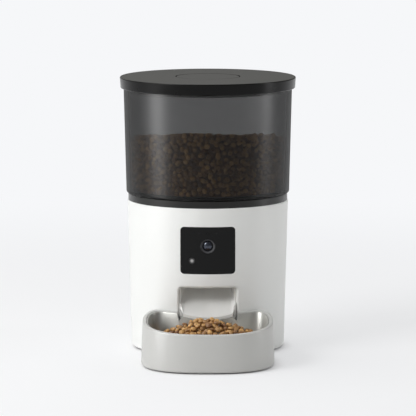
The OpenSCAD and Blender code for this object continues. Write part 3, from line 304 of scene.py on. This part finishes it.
# %% Slanted walls
def by_slant(m, socket, face_on, edge_on, start=0.3, end=0.95):
    """Lets a finish change from where a wall is seen face on to where it is seen at a slant."""
    tree = m.node_tree
    slant = add_node(tree, "LayerWeight")
    change = add_node(tree, "MapRange", From_Min=start, From_Max=end, To_Min=face_on, To_Max=edge_on)
    join(slant, "Facing", change, "Value")
    join(change, "Result", tree.nodes["Principled BSDF"], socket)


by_slant(FINISH["smoked_clear"], "Alpha", 0.48, 0.92)
by_slant(FINISH["smoked_clear"], "Roughness", 0.33, 0.6, start=0.5)
print("smoked wall", FINISH["smoked_clear"].name)

# %% Turned parts
def turned(m, middle, reach, stops):
    """Colours a round part by its distance from its middle, seen along Y; stops are shares of the reach."""
    tree = m.node_tree
    where = add_node(tree, "TexCoord")
    centred = add_node(tree, "Mapping", Location=(-middle[0] / 1000, 0, -middle[1] / 1000), Scale=(1, 0, 1))
    away = add_node(tree, "VectorMath", {"operation": "LENGTH"})
    share = add_node(tree, "MapRange", From_Max=reach / 1000)
    rings = add_node(tree, "ValToRGB")
    set_ramp(rings.color_ramp, stops)
    join(where, "Object", centred, "Vector")
    join(centred, "Vector", away, 0)
    join(away, "Value", share, "Value")
    join(share, "Result", rings, "Fac")
    join(rings, "Color", tree.nodes["Principled BSDF"], "Base Color")
    return m


LENS_MID, LENS_R, BEZEL_R = (0.0, 120.7), 5.6, 8.2
BUTTON_MID, BUTTON_R = (-16.9, 105.0), 3.4
# The blue and grey rings of the lens glass are painted reflections of its inner elements; the dark pupil is
# its own.
black, painted_reflection_blue, pupil = srgb(8, 8, 9), srgb(46, 50, 66), srgb(3, 3, 5)

TURNED = {
    # Lens glass: a dark pupil with rings of painted reflection around it.
    "camera_lens": turned(
        moulded("lens_glass_painted_rings", pupil, rough=0.13, wander=0.02, IOR=1.8,
                Specular_Tint=(0.78, 0.84, 1, 1)), LENS_MID, LENS_R,
        [(0.0, pupil), (0.26, pupil), (0.34, painted_reflection_blue), (0.44, pupil), (0.62, srgb(26, 28, 38)),
         (0.78, black), (1.0, srgb(30, 31, 36))]),
    # The bezel is a dark ring; its grey band from 0.76 to 0.88 is a painted sheen of the light on its cone.
    "lens_bezel": turned(
        moulded("lens_ring_painted_sheen", black, rough=0.24, wander=0.04), LENS_MID, BEZEL_R,
        [(0.0, black), (0.68, srgb(20, 20, 21)), (0.76, srgb(96, 96, 98)), (0.88, srgb(74, 74, 76)),
         (0.95, black), (1.0, srgb(4, 4, 4))]),
    "feed_button": turned(
        moulded("button_rings", srgb(160, 160, 160), rough=0.4), BUTTON_MID, BUTTON_R,
        [(0.0, srgb(190, 190, 190)), (0.30, srgb(160, 160, 160)), (0.52, srgb(120, 120, 120)),
         (0.66, srgb(34, 34, 34)), (1.0, srgb(10, 10, 10))]),
}
print(len(TURNED), "turned finishes")

# %% [markdown]
# ## Paint and pieces
# Every node of the part names the slot of its material, so one loop gives each slot its finish, and the
# turned parts get their own. A piece that is modelled here takes a node's place. One helper turns its mesh
# into an object, smooths it between sharp edges, hangs it on the body that it rides and hides the nodes that
# it replaces.

# %% Paint and pieces
def piece(name, bm, body, slot, stands_for=(), sharp=35.0, paint=None):
    """Turns a bmesh into a named piece of the feeder that rides on a body."""
    data = bpy.data.meshes.new(name)
    bm.to_mesh(data)
    bm.free()
    data.shade_smooth()
    data.set_sharp_from_angle(angle=math.radians(sharp))
    made = bpy.data.objects.new(name, data)
    bpy.context.collection.objects.link(made)
    data.materials.append(paint or FINISH[slot])
    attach(made, body)
    if stands_for:
        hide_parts(*stands_for)
    print(name, len(data.polygons), "faces on", body)
    return made


SLOT_OF = {}
for name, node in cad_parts.items():
    SLOT_OF[name] = node.material_slots[0].name.split(".")[0]
    for entry in node.material_slots:
        entry.material = TURNED.get(name) or FINISH[entry.name.split(".")[0]]
print(len(SLOT_OF), "CAD nodes painted")

# %% [markdown]
# ## Housing and chute
# The housing is one injection-moulded shell, so its mouth, pocket and vents are part of one skin. The part's
# skin is copied and welded, and its mouth is then opened by two millimetres all round, with softer corners:
# each point near the mouth slides outwards along the tapered wall. A mesh of long triangles shades badly
# beside small curves, so the outside takes its normals from the cone's own formula. The chute's lip is drawn
# in and its ends slope to the wall. A curtain under the lip closes the mouth's lower corners: a grid that is
# bent onto the cone and given a thickness.

# %% Welded copies
HOUSING_LOW_D, HOUSING_TOP_D, HOUSING_FOOT, HOUSING_H = 165.6, 173.8, 2, 159
FRONT_Y = -40


def bare_copy(node):
    """A CAD node's mesh as one welded skin, because it comes as loose triangles."""
    bm = bmesh.new()
    bm.from_mesh(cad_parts[node].data)
    bmesh.ops.remove_doubles(bm, verts=bm.verts, dist=1e-6)
    bmesh.ops.recalc_face_normals(bm, faces=bm.faces)
    return bm


def shell_r(z):
    """Radius of the housing's tapered outside at a height."""
    return (HOUSING_LOW_D + (HOUSING_TOP_D - HOUSING_LOW_D) * (z - HOUSING_FOOT) / HOUSING_H) / 2


def ease(v, low, high):
    """Climbs smoothly from 0 at low to 1 at high."""
    t = max(0.0, min(1.0, (v - low) / (high - low)))
    return t * t * (3 - 2 * t)


def move_front(bm, change):
    """Moves the points of the front by a rule on x, z and the depth below the tapered outside."""
    for v in bm.verts:
        x, y, z = v.co.x * 1000, (v.co.y - AXIS.y) * 1000, v.co.z * 1000
        r = math.hypot(x, y)
        if y < FRONT_Y:
            x, z, sunk = change(x, z, shell_r(z) - r)
            r = shell_r(z) - sunk
            v.co = Vector((x / 1000, AXIS.y - math.sqrt(r * r - x * x) / 1000, z / 1000))


print("housing radius at the foot", round(shell_r(HOUSING_FOOT), 2), "mm")

# %% Housing
MOUTH_CORE_X, MOUTH_CORE_TOP, WIDER = 27.0, 72.0, 2.0
# The push is whole up to one distance from the core, is gone at the next, and fades out below the sill.
PUSH_FULL, PUSH_END, PUSH_REACH, SILL_LOW, SILL_TOP = 5.6, 14, 45, 34, 38
CONE_NEAR, CONE_FACING = 0.06, 0.98


def open_mouth(x, z, sunk):
    """Pushes a point away from the core of the mouth, by less where it is further off."""
    dx, dz = x - max(-MOUTH_CORE_X, min(MOUTH_CORE_X, x)), z - min(z, MOUTH_CORE_TOP)
    away = math.hypot(dx, dz)
    if away == 0 or abs(x) > PUSH_REACH:
        return x, z, sunk
    push = WIDER * (1 - ease(away, PUSH_FULL, PUSH_END)) * ease(z, SILL_LOW, SILL_TOP) / away
    return x + push * dx, z + push * dz, sunk


def cone_normals(made):
    """Lets corners on the tapered outside take the cone's normal, and leaves the others as they are."""
    data = made.data
    drop = (HOUSING_LOW_D - HOUSING_TOP_D) / 2 / HOUSING_H
    normals = []
    for face in data.polygons:
        for corner in face.vertices:
            co = data.vertices[corner].co - AXIS
            out = Vector((co.x, co.y, 0)).normalized()
            want = (out + Vector((0, 0, drop))).normalized()
            on_cone = abs(math.hypot(co.x, co.y) * 1000 - shell_r(co.z * 1000)) < CONE_NEAR
            normals.append(want if on_cone and face.normal.dot(want) > CONE_FACING else Vector((0, 0, 0)))
    data.normals_split_custom_set(normals)
    print(sum(n.length > 0 for n in normals), "of", len(normals), "corners on the cone")


shell = bare_copy("base_shell")
move_front(shell, open_mouth)
housing = piece("housing", shell, "base", "housing_white", ["base_shell"])
cone_normals(housing)

# %% Chute
MOUTH_HALF, LIP_HALF, LIP_OLD, LIP_EDGE = 30.5, 26.5, 28.4, 0.8
# The lip's dished floor in the part and here: its height in the middle, its rise, and how far out that is.
LIP_WAS, LIP_NOW = (43.4, 6.63, 27.84), (44.8, 4.8, 30.5)
FLARE_FULL, FLARE_END = 6, 24
CURTAIN_LOW, CURTAIN_SUNK, CURTAIN_T, CURTAIN_GAP = 42.3, 0.5, 2.0, 0.2
CURTAIN_RISE, CURTAIN_CORNER_RISE, CURTAIN_CORNER_IN, CURTAIN_CORNER_OUT = 3.5, 5.5, 25, 30
CURTAIN_ROUND, CURTAIN_ROUND_TOP = 1, 44.5


def dished(floor, x):
    """Height of a dished floor, given as its height in the middle and its rise at a distance from there."""
    return floor[0] + floor[1] * (x / floor[2]) ** 2


def draw_lip(x, z, sunk):
    """Narrows the lip in front of the wall, and flares the duct behind it out to the mouth."""
    if sunk < 0:
        slim = x * LIP_HALF / LIP_OLD
        raised = z - dished(LIP_WAS, x) + dished(LIP_NOW, slim)
        return slim, min(raised, dished(LIP_NOW, slim) + LIP_EDGE), sunk
    return x * (1 + (MOUTH_HALF / LIP_OLD - 1) * (1 - ease(sunk, FLARE_FULL, FLARE_END))), z, sunk


def curtain_top(x):
    """Height where the curtain meets the chute's floor, which climbs to the mouth's sides."""
    corner = CURTAIN_CORNER_RISE * ease(abs(x), CURTAIN_CORNER_IN, CURTAIN_CORNER_OUT)
    return dished(LIP_NOW, x) + CURTAIN_RISE + corner


def curtain():
    """A plate under the chute's floor that follows the housing's face."""
    bm = bmesh.new()
    bmesh.ops.create_grid(bm, x_segments=48, y_segments=8, size=1)
    half = MOUTH_HALF - CURTAIN_GAP
    for v in bm.verts:
        z = CURTAIN_LOW + (curtain_top(v.co.x * half) - CURTAIN_LOW) * (v.co.y + 1) / 2
        x = v.co.x * (half - CURTAIN_ROUND + CURTAIN_ROUND * ease(z, CURTAIN_LOW, CURTAIN_ROUND_TOP))
        r = shell_r(z) - CURTAIN_SUNK
        v.co = Vector((x / 1000, AXIS.y - math.sqrt(r * r - x * x) / 1000, z / 1000))
    pulled = bmesh.ops.extrude_face_region(bm, geom=bm.faces[:])["geom"]
    inner = [v for v in pulled if isinstance(v, bmesh.types.BMVert)]
    bmesh.ops.translate(bm, verts=inner, vec=(0, CURTAIN_T / 1000, 0))
    bmesh.ops.recalc_face_normals(bm, faces=bm.faces)
    data = bpy.data.meshes.new("curtain")
    bm.to_mesh(data)
    bm.free()
    return data


duct = bare_copy("food_chute")
move_front(duct, draw_lip)
plate = curtain()
duct.from_mesh(plate)
bpy.data.meshes.remove(plate)
piece("chute", duct, "base", SLOT_OF["food_chute"], ["food_chute"], sharp=28)

# %% [markdown]
# ## Lens
# The front glass of a wide camera lens is a deep dome, so that it gathers light from the whole room, and a
# lamp shows in it as a small bright spot. A profile of its half section is spun round the lens axis, as glass
# is ground.

# %% Lens
def spun(profile, foot, axis, steps=64):
    """Spins points of (distance from the axis, distance along it), in millimetres, into a closed skin."""
    bm = bmesh.new()
    side = axis.orthogonal().normalized()
    verts = [bm.verts.new(foot + side * (r / 1000) + axis * (along / 1000)) for r, along in profile]
    edges = [bm.edges.new(pair) for pair in zip(verts, verts[1:])]
    bmesh.ops.spin(bm, geom=verts + edges, cent=foot, axis=axis, angle=2 * math.pi, steps=steps,
                   use_merge=True)
    bmesh.ops.remove_doubles(bm, verts=bm.verts, dist=1e-6)
    bmesh.ops.recalc_face_normals(bm, faces=bm.faces)
    return bm


LENS_RISE, LENS_OUT, LENS_STEPS = 2.6, 0.9, 14
lens_low, lens_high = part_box("camera_lens")
lens_deep = (lens_high[1] - lens_low[1]) * 1000 + LENS_OUT
ball = (LENS_R ** 2 + LENS_RISE ** 2) / (2 * LENS_RISE)
lean = math.asin(LENS_R / ball)
dome = [(ball * math.sin(lean * i / LENS_STEPS), ball * (1 - math.cos(lean * i / LENS_STEPS)))
        for i in range(LENS_STEPS + 1)] + [(LENS_R, lens_deep), (0, lens_deep)]
lens_tip = Vector((LENS_MID[0] / 1000, lens_low[1] - LENS_OUT / 1000, LENS_MID[1] / 1000))
piece("lens_dome", spun(dome, lens_tip, Vector((0, 1, 0))), "base", SLOT_OF["camera_lens"], ["camera_lens"],
      paint=TURNED["camera_lens"])

# %% [markdown]
# ## Desiccant box
# The box for drying beads under the lid is shallow, so that nothing of it shows below the lid's rim. Both of
# its pieces are copied and pressed towards the lid by the same share, so they still fit each other.

# %% Desiccant box
BOX_SHARE = 0.5
box_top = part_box("desiccant_box")[1][2]
for name, node, body in (("desiccant_case", "desiccant_box", "lid"),
                         ("desiccant_grid", "desiccant_cover", "desiccant_lid")):
    pressed = bare_copy(node)
    for v in pressed.verts:
        v.co.z = box_top - (box_top - v.co.z) * BOX_SHARE
    piece(name, pressed, body, SLOT_OF[node], [node])

# %% [markdown]
# ## Bowl
# The bowl's outline is a rounded square in front and a hollow arc behind, where it hugs the housing. Each
# ring of the bowl is that outline moved inwards and up, and neighbouring rings are bridged, which is how a
# lofted surface is built from sections. The tray and the steel liner are two such lofts, one in the other.

# %% Bowl outline
BOWL_W, BOWL_MID, BOWL_FRONT, BOWL_REAR, BOWL_POWER = 140.6, 116.0, 65.0, 76.0, 2.5
RIM_REAR, DRAFT, BOWL_GAP = 50.5, 1.4, 0.8
BACK_R = shell_r(RIM_REAR) + BOWL_GAP - DRAFT
# Directions in degrees: where the bowl's rear corner is looked for, and how much of it is rounded.
CORNER_FROM, CORNER_TO, CORNER_CUT, CUT_GROWTH = 5, 85, 4.0, 0.7


def bowl_point(inset, turn):
    """A point of the rounded square, moved inwards by the inset, in a direction from the bowl's middle."""
    c, s = math.cos(turn), math.sin(turn)
    a, b = BOWL_W / 2 - inset, (BOWL_FRONT if s < 0 else BOWL_REAR) - inset
    r = (abs(c / a) ** BOWL_POWER + abs(s / b) ** BOWL_POWER) ** (-1 / BOWL_POWER)
    return Vector((r * c, r * s - BOWL_MID))


def bowl_corner(inset):
    """The direction in which the rounded square meets the hollow arc, found by halving."""
    low, high = math.radians(CORNER_FROM), math.radians(CORNER_TO)
    for _ in range(30):
        mid = (low + high) / 2
        if bowl_point(inset, mid).length > BACK_R + inset:
            low = mid
        else:
            high = mid
    return low


def bend(p, q, s, t):
    """A point on the curve from p to s that is drawn towards q."""
    return p * (1 - t) ** 2 + q * 2 * t * (1 - t) + s * t * t


def bowl_outline(inset, sides=110, back=36, bends=10):
    """The whole ring: the rounded square, the hollow arc and the two soft corners between them."""
    turn = bowl_corner(inset)
    tip, r = bowl_point(inset, turn), BACK_R + inset
    cut = math.radians(CORNER_CUT + CUT_GROWTH * inset)
    start, half = turn - cut, math.atan2(tip.x, -tip.y) - cut
    side = [bowl_point(inset, start - (math.pi + 2 * start) * i / sides) for i in range(sides + 1)]
    angles = [half * (2 * i / back - 1) for i in range(back + 1)]
    arc = [Vector((r * math.sin(a), -r * math.cos(a))) for a in angles]
    left = Vector((-tip.x, tip.y))
    round_left = [bend(side[-1], left, arc[0], i / bends) for i in range(1, bends)]
    round_right = [bend(arc[-1], tip, side[0], i / bends) for i in range(1, bends)]
    return side + round_left + arc + round_right


print("bowl outline of", len(bowl_outline(0)), "points")

# %% Bowl rings
RIM_FRONT, RIM_W, RIM_BEND = 41.0, 4.2, 1.3
COVE_R, COVE_IN, TRAY_FLOOR = 14, 1.5, 3.8
TRAY_IN = DRAFT + RIM_W
RUN = BOWL_MID + BOWL_FRONT + bowl_point(0, bowl_corner(0)).y


def rim_z(y):
    """Height of the rim, which climbs from the front to the rear."""
    u = min(1, max(0, (y + BOWL_MID + BOWL_FRONT) / RUN))
    return RIM_FRONT + (RIM_REAR - RIM_FRONT) * (1 - (1 - u) ** RIM_BEND)


def quarter(steps):
    """The angles of a quarter turn."""
    return [math.pi / 2 * i / steps for i in range(steps + 1)]


def cove(offset, steps=10):
    """Rings of the rounded corner between the wall and the floor, from the wall down."""
    r = COVE_R - offset
    return [(TRAY_IN + COVE_IN + offset + r * (1 - math.cos(a)),
             TRAY_FLOOR + offset + r * (1 - math.sin(a)), False) for a in quarter(steps)]


def loft(rings):
    """Bridges rings of (inset, height, whether the height is taken down from the rim) into a closed skin."""
    bm = bmesh.new()
    loops = []
    for inset, height, below_rim in rings:
        points = [(p.x, p.y, rim_z(p.y) - height if below_rim else height) for p in bowl_outline(inset)]
        verts = [bm.verts.new((x / 1000, y / 1000 + AXIS.y, z / 1000)) for x, y, z in points]
        loops.append([bm.edges.new((a, b)) for a, b in zip(verts, verts[1:] + verts[:1])])
    for one, two in zip(loops, loops[1:]):
        bmesh.ops.bridge_loops(bm, edges=one + two)
    for end in (loops[0], loops[-1]):
        bmesh.ops.contextual_create(bm, geom=end)
    bmesh.ops.recalc_face_normals(bm, faces=bm.faces)
    return bm


print("bowl rim from", rim_z(-BOWL_MID - BOWL_FRONT), "to", rim_z(0), "mm")

# %% Bowl tray and liner
LIP_Z, LIP_DISH = LIP_NOW[:2]
LIP_UNDER, NOTCH_GAP, NOTCH_STEPS = 2.6, 0.5, 30
NOTCH_HALF, NOTCH_LOW, NOTCH_FROM, NOTCH_DEEP = 33.3, 40.5, 44.3, 58.3
TRAY_EDGE, TRAY_FOOT, RIM_OUT_R, RIM_IN_R = 2.5, 1.2, 1.5, 0.8
LINER_GAP, LINER_LIP, LINER_SUNK, LINER_T = 0.3, 0.6, 0.9, 1.5


def dish(x):
    """Rise of the arc across the lip at a distance from its middle."""
    r = (MOUTH_HALF ** 2 + LIP_DISH ** 2) / (2 * LIP_DISH)
    return r - math.sqrt(r * r - x * x)


def cut_notch(made):
    """Takes out of the rear wall the gap that the chute's dished lip reaches through."""
    across = [LIP_HALF * i / NOTCH_STEPS for i in range(-NOTCH_STEPS, NOTCH_STEPS + 1)]
    floor_line = [(x, LIP_Z - LIP_UNDER - NOTCH_GAP + dish(x)) for x in across]
    right = [(MOUTH_HALF, NOTCH_LOW), (NOTCH_HALF, RIM_REAR), (NOTCH_HALF, 2 * RIM_REAR)]
    outline = [(-x, z) for x, z in right[::-1]] + floor_line + right
    bm = bmesh.new()
    face = bm.faces.new([bm.verts.new((x / 1000, AXIS.y - NOTCH_FROM / 1000, z / 1000)) for x, z in outline])
    pulled = bmesh.ops.extrude_face_region(bm, geom=[face])["geom"]
    front = [v for v in pulled if isinstance(v, bmesh.types.BMVert)]
    bmesh.ops.translate(bm, verts=front, vec=(0, -NOTCH_DEEP / 1000, 0))
    bmesh.ops.recalc_face_normals(bm, faces=bm.faces)
    data = bpy.data.meshes.new("notch")
    bm.to_mesh(data)
    bm.free()
    block = bpy.data.objects.new("notch", data)
    bpy.context.collection.objects.link(block)
    cut = made.modifiers.new("notch", "BOOLEAN")
    cut.operation, cut.solver, cut.object = "DIFFERENCE", "EXACT", block
    after = bpy.data.meshes.new_from_object(made.evaluated_get(bpy.context.evaluated_depsgraph_get()))
    made.modifiers.clear()
    made.data = after
    bpy.data.objects.remove(block)


tray_rings = [(TRAY_EDGE * (1 - math.sin(a)), TRAY_FOOT + TRAY_EDGE * (1 - math.cos(a)), False)
              for a in quarter(8)]
tray_rings += [(DRAFT + RIM_OUT_R * (1 - math.cos(a)), RIM_OUT_R * (1 - math.sin(a)), True)
               for a in quarter(6)]
tray_rings += [(TRAY_IN - RIM_IN_R * math.cos(a), RIM_IN_R * (1 - math.sin(math.pi / 2 - a)), True)
               for a in quarter(4)]
tray_rings += cove(0)
tray = piece("bowl_tray_skin", loft(tray_rings), "bowl", "tray_grey", ["bowl_tray"])
cut_notch(tray)

edge, lip = TRAY_IN + LINER_GAP, LINER_LIP
liner_rings = cove(LINER_GAP)[::-1]
liner_rings += [(edge + lip * (1 - math.cos(a)), LINER_SUNK + lip * (1 - math.sin(a)), True)
                for a in quarter(3)]
liner_rings += [(edge + lip + lip * math.sin(a), LINER_SUNK + lip * (1 - math.cos(a)), True)
                for a in quarter(3)[1:]]
liner_rings += cove(LINER_T, 14)
liner = piece("bowl_liner_skin", loft(liner_rings), "liner", "liner_steel", ["bowl_liner"])
cut_notch(liner)

# %% [markdown]
# ## Dry food
# Kibble is extruded and cut, so each piece is a small disc with rounded edges. One disc is spun and copied
# with its own turn, tilt, size and tone, which its colour reads. A heap shows only its skin, so the pieces
# lie in a few layers.

# %% Kibble colour
kibble_colour = bpy.data.materials.new("kibble")
kibble_colour.use_nodes = True
tree = kibble_colour.node_tree
shader = tree.nodes["Principled BSDF"]
shader.inputs["Roughness"].default_value = 0.62
where = add_node(tree, "TexCoord")
patch = add_node(tree, "TexNoise", Scale=160.0, Detail=5.0)
ramp = add_node(tree, "ValToRGB")
set_ramp(ramp.color_ramp, [(0.2, srgb(112, 68, 30)), (0.8, srgb(226, 178, 110))])
batch = add_node(tree, "Attribute", {"attribute_name": "tone"})
blend = add_node(tree, "Mix", Factor=0.5)
crumb = add_node(tree, "TexNoise", Scale=1400.0)
bump = add_node(tree, "Bump", Strength=0.6, Distance=0.0003)
join(where, "Object", patch, "Vector")
join(where, "Object", crumb, "Vector")
join(patch, "Fac", blend, "A")
join(batch, "Fac", blend, "B")
join(blend, "Result", ramp, "Fac")
join(ramp, "Color", shader, "Base Color")
join(crumb, "Fac", bump, "Height")
join(bump, "Normal", shader, "Normal")
FINISH["kibble"] = kibble_colour
print("kibble colour with", len(tree.nodes), "nodes")

# %% Kibble disc
FOOD_SEED = 11
SPIN, TIP, OVAL, FLAT = (0, 6.28), 0.6, (0.88, 1), (0.55, 0.72)
# The disc's half section has a radius of one metre, and each copy is scaled down to its own size.
DISC = [(0, -820), (700, -760), (1000, -260), (1000, 260), (700, 760), (0, 820)]

dice = random.Random(FOOD_SEED)
one = spun(DISC, Vector((0, 0, 0)), Vector((0, 0, 1)), steps=8)
disc = bpy.data.meshes.new("kibble_disc")
one.to_mesh(disc)
one.free()
disc.attributes.new("tone", "FLOAT", "POINT")


def add_disc(bm, place, up, size):
    """Stamps one more disc into the heap, lying on up but tipped and spun by chance."""
    spin = Matrix.Rotation(dice.uniform(*SPIN), 4, "Z")
    tip = Vector((dice.gauss(0, TIP), dice.gauss(0, TIP), 1))
    turn = up.to_track_quat("Z", "Y").to_matrix().to_4x4() @ tip.to_track_quat("Z", "Y").to_matrix().to_4x4()
    flat = Matrix.Diagonal((size, size * dice.uniform(*OVAL), size * dice.uniform(*FLAT), 1))
    stamp = disc.copy()
    stamp.attributes["tone"].data.foreach_set("value", [dice.random()] * len(stamp.vertices))
    stamp.transform(Matrix.Translation(place) @ turn @ spin @ flat)
    bm.from_mesh(stamp)
    bpy.data.meshes.remove(stamp)


print("kibble disc", len(disc.polygons), "faces")

# %% Food in the bowl
HEAP, HEAP_TOP, HEAP_SLOPE, HEAP_DENT, DENT_R = (0.0, -108.0), 48.5, 0.40, 2.0, 8
HEAP_X, HEAP_Y, HEAP_LOW, HEAP_UNEVEN, HEAP_LEAN = (-62, 62), (-176, -90), 9, 1.3, 0.01
HEAP_LAYERS, HEAP_GAP, HEAP_TRIES, HEAP_SIZES = (0.0, 3.8, 7.6), 5.6, 10000, (2.7, 3.3)
COVE_TOP, WALL_ROOM = TRAY_FLOOR + LINER_T + COVE_R, 3.8


def scatter(wide, high, gap, tries):
    """Random points in a rectangle, with at least that gap between neighbours."""
    kept, cells = [], {}
    for _ in range(tries):
        p = dice.uniform(*wide), dice.uniform(*high)
        key = (int(p[0] // gap), int(p[1] // gap))
        near = (q for i in (-1, 0, 1) for j in (-1, 0, 1) for q in cells.get((key[0] + i, key[1] + j), ()))
        if all((p[0] - q[0]) ** 2 + (p[1] - q[1]) ** 2 > gap * gap for q in near):
            kept.append(p)
            cells.setdefault(key, []).append(p)
    return kept


def heap_z(x, y):
    """Height of the heap's skin: a cone with a blunt tip."""
    r = math.hypot(x - HEAP[0], y - HEAP[1])
    return HEAP_TOP - HEAP_SLOPE * r - HEAP_DENT * math.exp(-(r / DENT_R) ** 2)


def inside_liner(x, y, z, room):
    """Whether a point in the bowl is clear of the liner's wall by that room."""
    low = max(0.0, min(1.0, (COVE_TOP - z) / COVE_R))
    wall = TRAY_IN + COVE_IN + LINER_T + room + COVE_R * (1 - math.sqrt(1 - low * low))
    turn = math.atan2(y + BOWL_MID, x)
    limit = (bowl_point(wall, turn) + Vector((0, BOWL_MID))).length
    return math.hypot(x, y + BOWL_MID) < limit and math.hypot(x, y) > BACK_R + wall


food = bmesh.new()
count = 0
for depth in HEAP_LAYERS:
    for x, y in scatter(HEAP_X, HEAP_Y, HEAP_GAP, HEAP_TRIES):
        z = heap_z(x, y) - depth + dice.uniform(-HEAP_UNEVEN, HEAP_UNEVEN)
        if z > HEAP_LOW and inside_liner(x, y, z, WALL_ROOM):
            up = Vector((x - HEAP[0], y - HEAP[1], 0)) * HEAP_LEAN + Vector((0, 0, 1))
            add_disc(food, (x / 1000, y / 1000 + AXIS.y, z / 1000), up, 0.001 * dice.uniform(*HEAP_SIZES))
            count += 1
print(count, "pieces of food in the bowl")
piece("food_in_bowl", food, "liner", "kibble", sharp=60)

# %% [markdown]
# ## Food in the tank
# Only the outside of the food shows through the smoked wall. Discs lie in two layers along the wall and in
# one on top, and a plain spun core stands for the rest, which saves many thousand faces.

# %% Food in the tank
TANK_LOW_D, TANK_TOP_D, TANK_FOOT, TANK_H, TANK_WALL = 176.2, 183, 168.8, 120, 2.4
FILL_MID, FILL_FALL, FILL_R, RIPPLE, RIPPLE_X, RIPPLE_Y = 227, 12, 84, 1.5, 13, 17
STORE_LAYERS, STORE_GAP, STORE_SIZES = (4.0, 8.0), 5.2, (2.5, 3.2)
WALL_ROUND, WALL_Z, WALL_TRIES = (0, 2 * math.pi * FILL_R), (174.4, 242), 11000
TOP_SIDE, TOP_R, TOP_TRIES = (-82, 82), 80, 7000
TANK_CORNER_Z, TANK_CORNER_LEAN = 178, 0.5


def tank_in(z):
    """Radius of the tank's inside at a height."""
    return (TANK_LOW_D + (TANK_TOP_D - TANK_LOW_D) * (z - TANK_FOOT) / TANK_H) / 2 - TANK_WALL


def fill_z(x, y):
    """The food was poured in from the front, so its top falls a little towards the back."""
    return FILL_MID - FILL_FALL * y / FILL_R + RIPPLE * math.sin(x / RIPPLE_X) * math.cos(y / RIPPLE_Y)


food = bmesh.new()
count = 0
for depth in STORE_LAYERS:
    for along, z in scatter(WALL_ROUND, WALL_Z, STORE_GAP, WALL_TRIES):
        turn, r = along / FILL_R, tank_in(z) - depth - TANK_CORNER_LEAN * max(0, TANK_CORNER_Z - z)
        out = Vector((math.cos(turn), math.sin(turn), 0))
        if z < fill_z(r * out.x, r * out.y):
            place = AXIS + out * (r / 1000) + Vector((0, 0, z / 1000))
            add_disc(food, place, out, 0.001 * dice.uniform(*STORE_SIZES))
            count += 1
for x, y in scatter(TOP_SIDE, TOP_SIDE, STORE_GAP, TOP_TRIES):
    if math.hypot(x, y) < TOP_R:
        place = AXIS + Vector((x / 1000, y / 1000, fill_z(x, y) / 1000))
        add_disc(food, place, Vector((0, 0, 1)), 0.001 * dice.uniform(*STORE_SIZES))
        count += 1
print(count, "pieces of food in the tank")
piece("food_in_tank", food, "tank", "kibble", sharp=80)

# %% Core of the food
CORE_FOOT_R, CORE_R, CORE_LOW, CORE_LEVEL, CORE_DOWN = 79, 78, 171.8, 219, 5
CORE_RINGS = (CORE_R, 50, 20, 0)

profile = [(0, CORE_LOW), (CORE_FOOT_R, CORE_LOW), (CORE_R, TANK_CORNER_Z)]
core = spun(profile + [(r, CORE_LEVEL) for r in CORE_RINGS], AXIS, Vector((0, 0, 1)))
for v in core.verts:
    if v.co.z * 1000 > CORE_LEVEL - 1:
        v.co.z = (fill_z(v.co.x * 1000, (v.co.y - AXIS.y) * 1000) - CORE_DOWN) / 1000
piece("food_core", core, "tank", "kibble", sharp=60)
